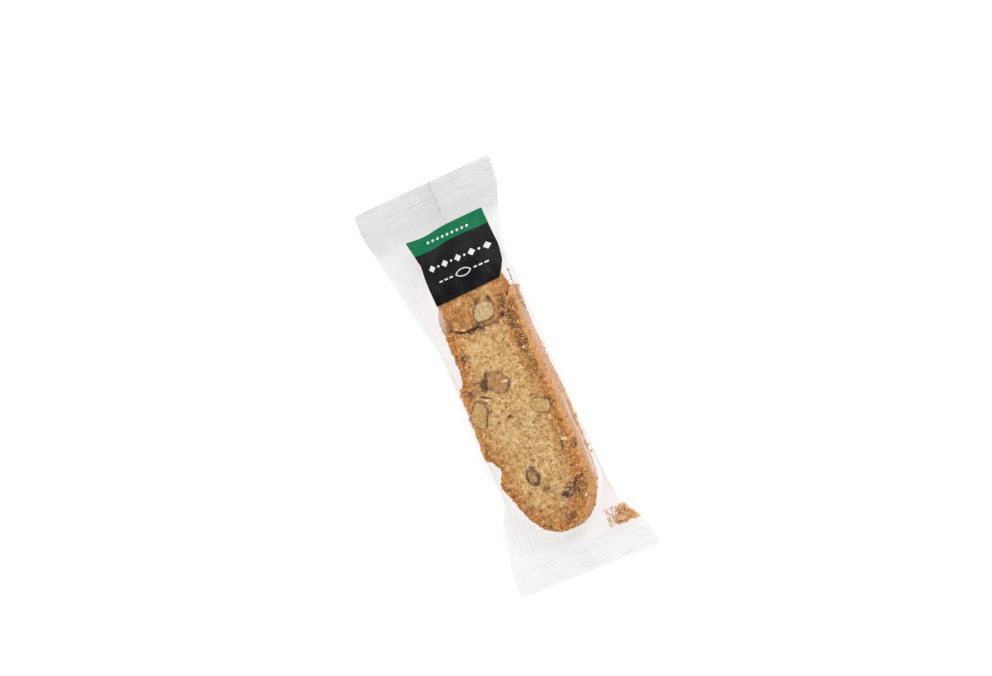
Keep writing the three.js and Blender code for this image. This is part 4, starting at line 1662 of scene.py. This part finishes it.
# %% Crumb finishes
def loose_crumb_material(name, pale, warm, dark, dark_share):
    """Toasted crumbs, each patch its own shade between pale and dark."""
    material, tree, shader = new_material(name, 0.8, 0.2)
    place = object_coordinates(tree)
    shade = map_range(tree, noise_texture(tree, 700, 2, 0.6, place), 0.36, 0.64, 0, 1)
    toasted = map_range(tree, noise_texture(tree, 420, 2, 0.5, place), 0.52, 0.66, 0, dark_share)
    crumb = mix_colour(tree, shade, pale, warm)
    wire(tree, mix_colour(tree, toasted, crumb, dark), shader.inputs["Base Color"])
    return material


loose_crumb = loose_crumb_material(
    "loose_crumb", (0.96, 0.66, 0.33), (0.68, 0.3, 0.075), (0.38, 0.12, 0.03), 0.6)
crust_crumb = loose_crumb_material(
    "crust_crumb", (0.86, 0.54, 0.23), (0.5, 0.2, 0.045), (0.2, 0.075, 0.022), 0.8)
dark_crumb = loose_crumb_material(
    "dark_crumb", (0.26, 0.15, 0.08), (0.12, 0.065, 0.035), (0.04, 0.025, 0.02), 0.8)

# %% [markdown]
# The crumbs lie between the two films: a heap in the foot's right corner, a line of dark ones beside
# the panel and a few strays below it. A bed for each is a four-cornered patch some share of the way
# up from the back film to the front one, so the grains lie in the pack.

# %% Beds between the films
BED_STEPS = 12


def bed_patch(name, corners, share):
    """A patch between four corners, given the share of the way from the back to the front film."""
    steps = np.linspace(0, 1, BED_STEPS)
    a, b, c, d = (np.array(corner, float) for corner in corners)
    flat = [(a * (1 - u) + b * u) * (1 - v) + (d * (1 - u) + c * u) * v for v in steps for u in steps]
    x, y = np.array(flat).T
    z = back_height(x, y) * (1 - share) + front_height(x, y) * share
    mesh = bpy.data.meshes.new(name)
    mesh.from_pydata((np.column_stack([x, y, z]) * MM).tolist(), [], grid_faces(BED_STEPS, BED_STEPS))
    return mesh


# %% Scatter the loose crumbs
# For each bed: its corners and share, then grains a square millimetre, smallest and largest size,
# seed and finish.
CRUMB_BEDS = {
    "crumb_heap_low": (
        [(21.2, -80.3), (33.6, -80.3), (29.2, -73.2), (26.2, -71.9)],
        0.35, 1.7, 0.5, 1.5, 5, loose_crumb),
    "crumb_heap_top": (
        [(22.3, -80.2), (33.4, -80.2), (29.0, -73.6), (26.6, -72.5)],
        0.65, 1.5, 0.5, 1.4, 6, loose_crumb),
    "crumb_heap_fine": (
        [(18.6, -80.4), (33.8, -80.4), (29.4, -72.2), (19.4, -71.6)],
        0.5, 1.5, 0.35, 0.8, 7, loose_crumb),
    "edge_crumbs_head": (
        [(23.6, 25.0), (24.1, 25.0), (23.4, 45.5), (22.9, 45.5)],
        0.5, 2.6, 0.45, 0.9, 8, dark_crumb),
    "edge_crumbs_body": (
        [(24.3, -50), (25.8, -50), (24.0, 30), (23.5, 30)],
        0.55, 0.4, 0.5, 1.5, 9, loose_crumb),
}
grain_tree = scatter_tree("loose_grains", 2)
for name, (corners, share, *grains) in CRUMB_BEDS.items():
    bed = bed_patch(name, corners, share)
    finish_piece(scatter(name, bed, grain_tree, *grains))

# %% [markdown]
# The crust itself is rough with grains that never quite came loose. The same kind of scatter puts
# tiny ones on the biscuit, only where the toast mask is high and above its underside, so that its
# sides and rim look broken.

# %% Grains on the crust
def get_mask(mesh, name):
    values = np.empty(len(mesh.vertices), np.float32)
    mesh.attributes[name].data.foreach_get("value", values)
    return values


def mark_grainy(mesh):
    """Where grains cling: all over the crust, but few on its smoother side and none low down."""
    cling = get_mask(mesh, "toast") * (1 - 0.75 * get_mask(mesh, "side"))
    set_mask(mesh, "grainy", cling * smoothstep(positions(mesh)[:, 2], 3, 5))
    return mesh


crust_tree = scatter_tree("crust_grains", 1, mask="grainy")
for source, seed in ((body, 11), (head_piece, 12)):
    name = f"{source.name}_grains"
    bed = mark_grainy(source.data.copy())
    finish_piece(scatter(name, bed, crust_tree, 0.7, 0.3, 0.95, seed, crust_crumb))

# %% [markdown]
# ## Floor, light and camera
# A plain pale floor that glows a little, like a light table, and large soft lights keep the attention
# on the pack and its shadow faint. The camera looks down on the front from a little to the pack's
# right, which is why its right side shows, and it is turned so that the pack leans. It stands far off
# with a long lens, as for a product picture.

# %% Floor
FLOOR_TONES = ((0.42, 0.42, 0.424), (0.43, 0.43, 0.434))
FLOOR_GLOW = 0.66
FLOOR_HALF = 1500


def floor_material():
    material, tree, shader = new_material("pale_floor", 0.7, 0.2)
    tone = map_range(tree, noise_texture(tree, 6, 3), 0.3, 0.7, 0, 1)
    wire(tree, mix_colour(tree, tone, *FLOOR_TONES), shader.inputs["Base Color"])
    shader.inputs["Emission Color"].default_value = (1, 1, 1, 1)
    shader.inputs["Emission Strength"].default_value = FLOOR_GLOW
    return material


floor_corners = [(x * FLOOR_HALF, y * FLOOR_HALF, 0) for x, y in ((-1, -1), (1, -1), (1, 1), (-1, 1))]
floor = make_piece("floor", floor_corners, [(0, 1, 2, 3)], floor_material())
print("floor, m across:", 2 * FLOOR_HALF * MM)

# %% Camera
IMAGE_SIZE = (992, 676)
PIXELS_PER_MM = 2.2
CAMERA_TILT = 18.0  # degrees from straight above, towards the pack's right
CAMERA_ROLL = 23.6  # degrees that the pack leans to the left
CAMERA_DISTANCE = 1200
PACK_IN_FRAME = (9.3, -40.4)  # where the pack's middle lies from the picture's middle, pixels
PACK_MIDDLE_HEIGHT = 3
SENSOR_WIDTH = 36


def place_camera():
    tilt, roll = math.radians(CAMERA_TILT), math.radians(CAMERA_ROLL)
    back = Vector((math.sin(tilt), 0, math.cos(tilt)))
    across, pack_up = Vector((math.cos(tilt), 0, -math.sin(tilt))), Vector((0, 1, 0))
    right = across * math.cos(roll) - pack_up * math.sin(roll)
    up = across * math.sin(roll) + pack_up * math.cos(roll)
    off_middle = (right * PACK_IN_FRAME[0] + up * PACK_IN_FRAME[1]) / PIXELS_PER_MM
    aim = Vector((0, 0, PACK_MIDDLE_HEIGHT)) - off_middle
    data = bpy.data.cameras.new("camera")
    data.sensor_width = SENSOR_WIDTH
    data.lens = PIXELS_PER_MM * CAMERA_DISTANCE / IMAGE_SIZE[0] * SENSOR_WIDTH
    data.clip_start, data.clip_end = 0.05, 10
    camera = bpy.data.objects.new("camera", data)
    turn = Matrix((right, up, back)).transposed().to_4x4()
    camera.matrix_world = Matrix.Translation((aim + back * CAMERA_DISTANCE) * MM) @ turn
    bpy.context.scene.collection.objects.link(camera)
    bpy.context.scene.camera = camera
    print("lens, mm:", round(data.lens, 1))


place_camera()

# %% Lights
# Place and size across in metres, power in watts.
LIGHTS = {"key": ((0.75, 0.55, 0.95), 0.7, 6.3), "fill": ((-0.9, 0.1, 0.9), 1.0, 1.35)}
SKY_STRENGTH = 0.775


def soft_light(name, place, size, power):
    """A round light that faces the pack."""
    data = bpy.data.lights.new(name, "AREA")
    data.shape, data.size, data.energy = "DISK", size, power
    light = bpy.data.objects.new(name, data)
    light.location = place
    light.rotation_euler = (-Vector(place)).to_track_quat("-Z", "Y").to_euler()
    bpy.context.scene.collection.objects.link(light)


def even_sky():
    """A plain white world, so that no side of the pack is dark."""
    world = bpy.data.worlds.new("studio")
    world.use_nodes = True
    sky = world.node_tree.nodes["Background"].inputs
    sky["Color"].default_value = (1, 1, 1, 1)
    sky["Strength"].default_value = SKY_STRENGTH
    return world


for name, light in LIGHTS.items():
    soft_light(name, *light)
bpy.context.scene.world = even_sky()
bpy.context.scene.view_settings.view_transform = "Standard"
print("lights:", ", ".join(LIGHTS))
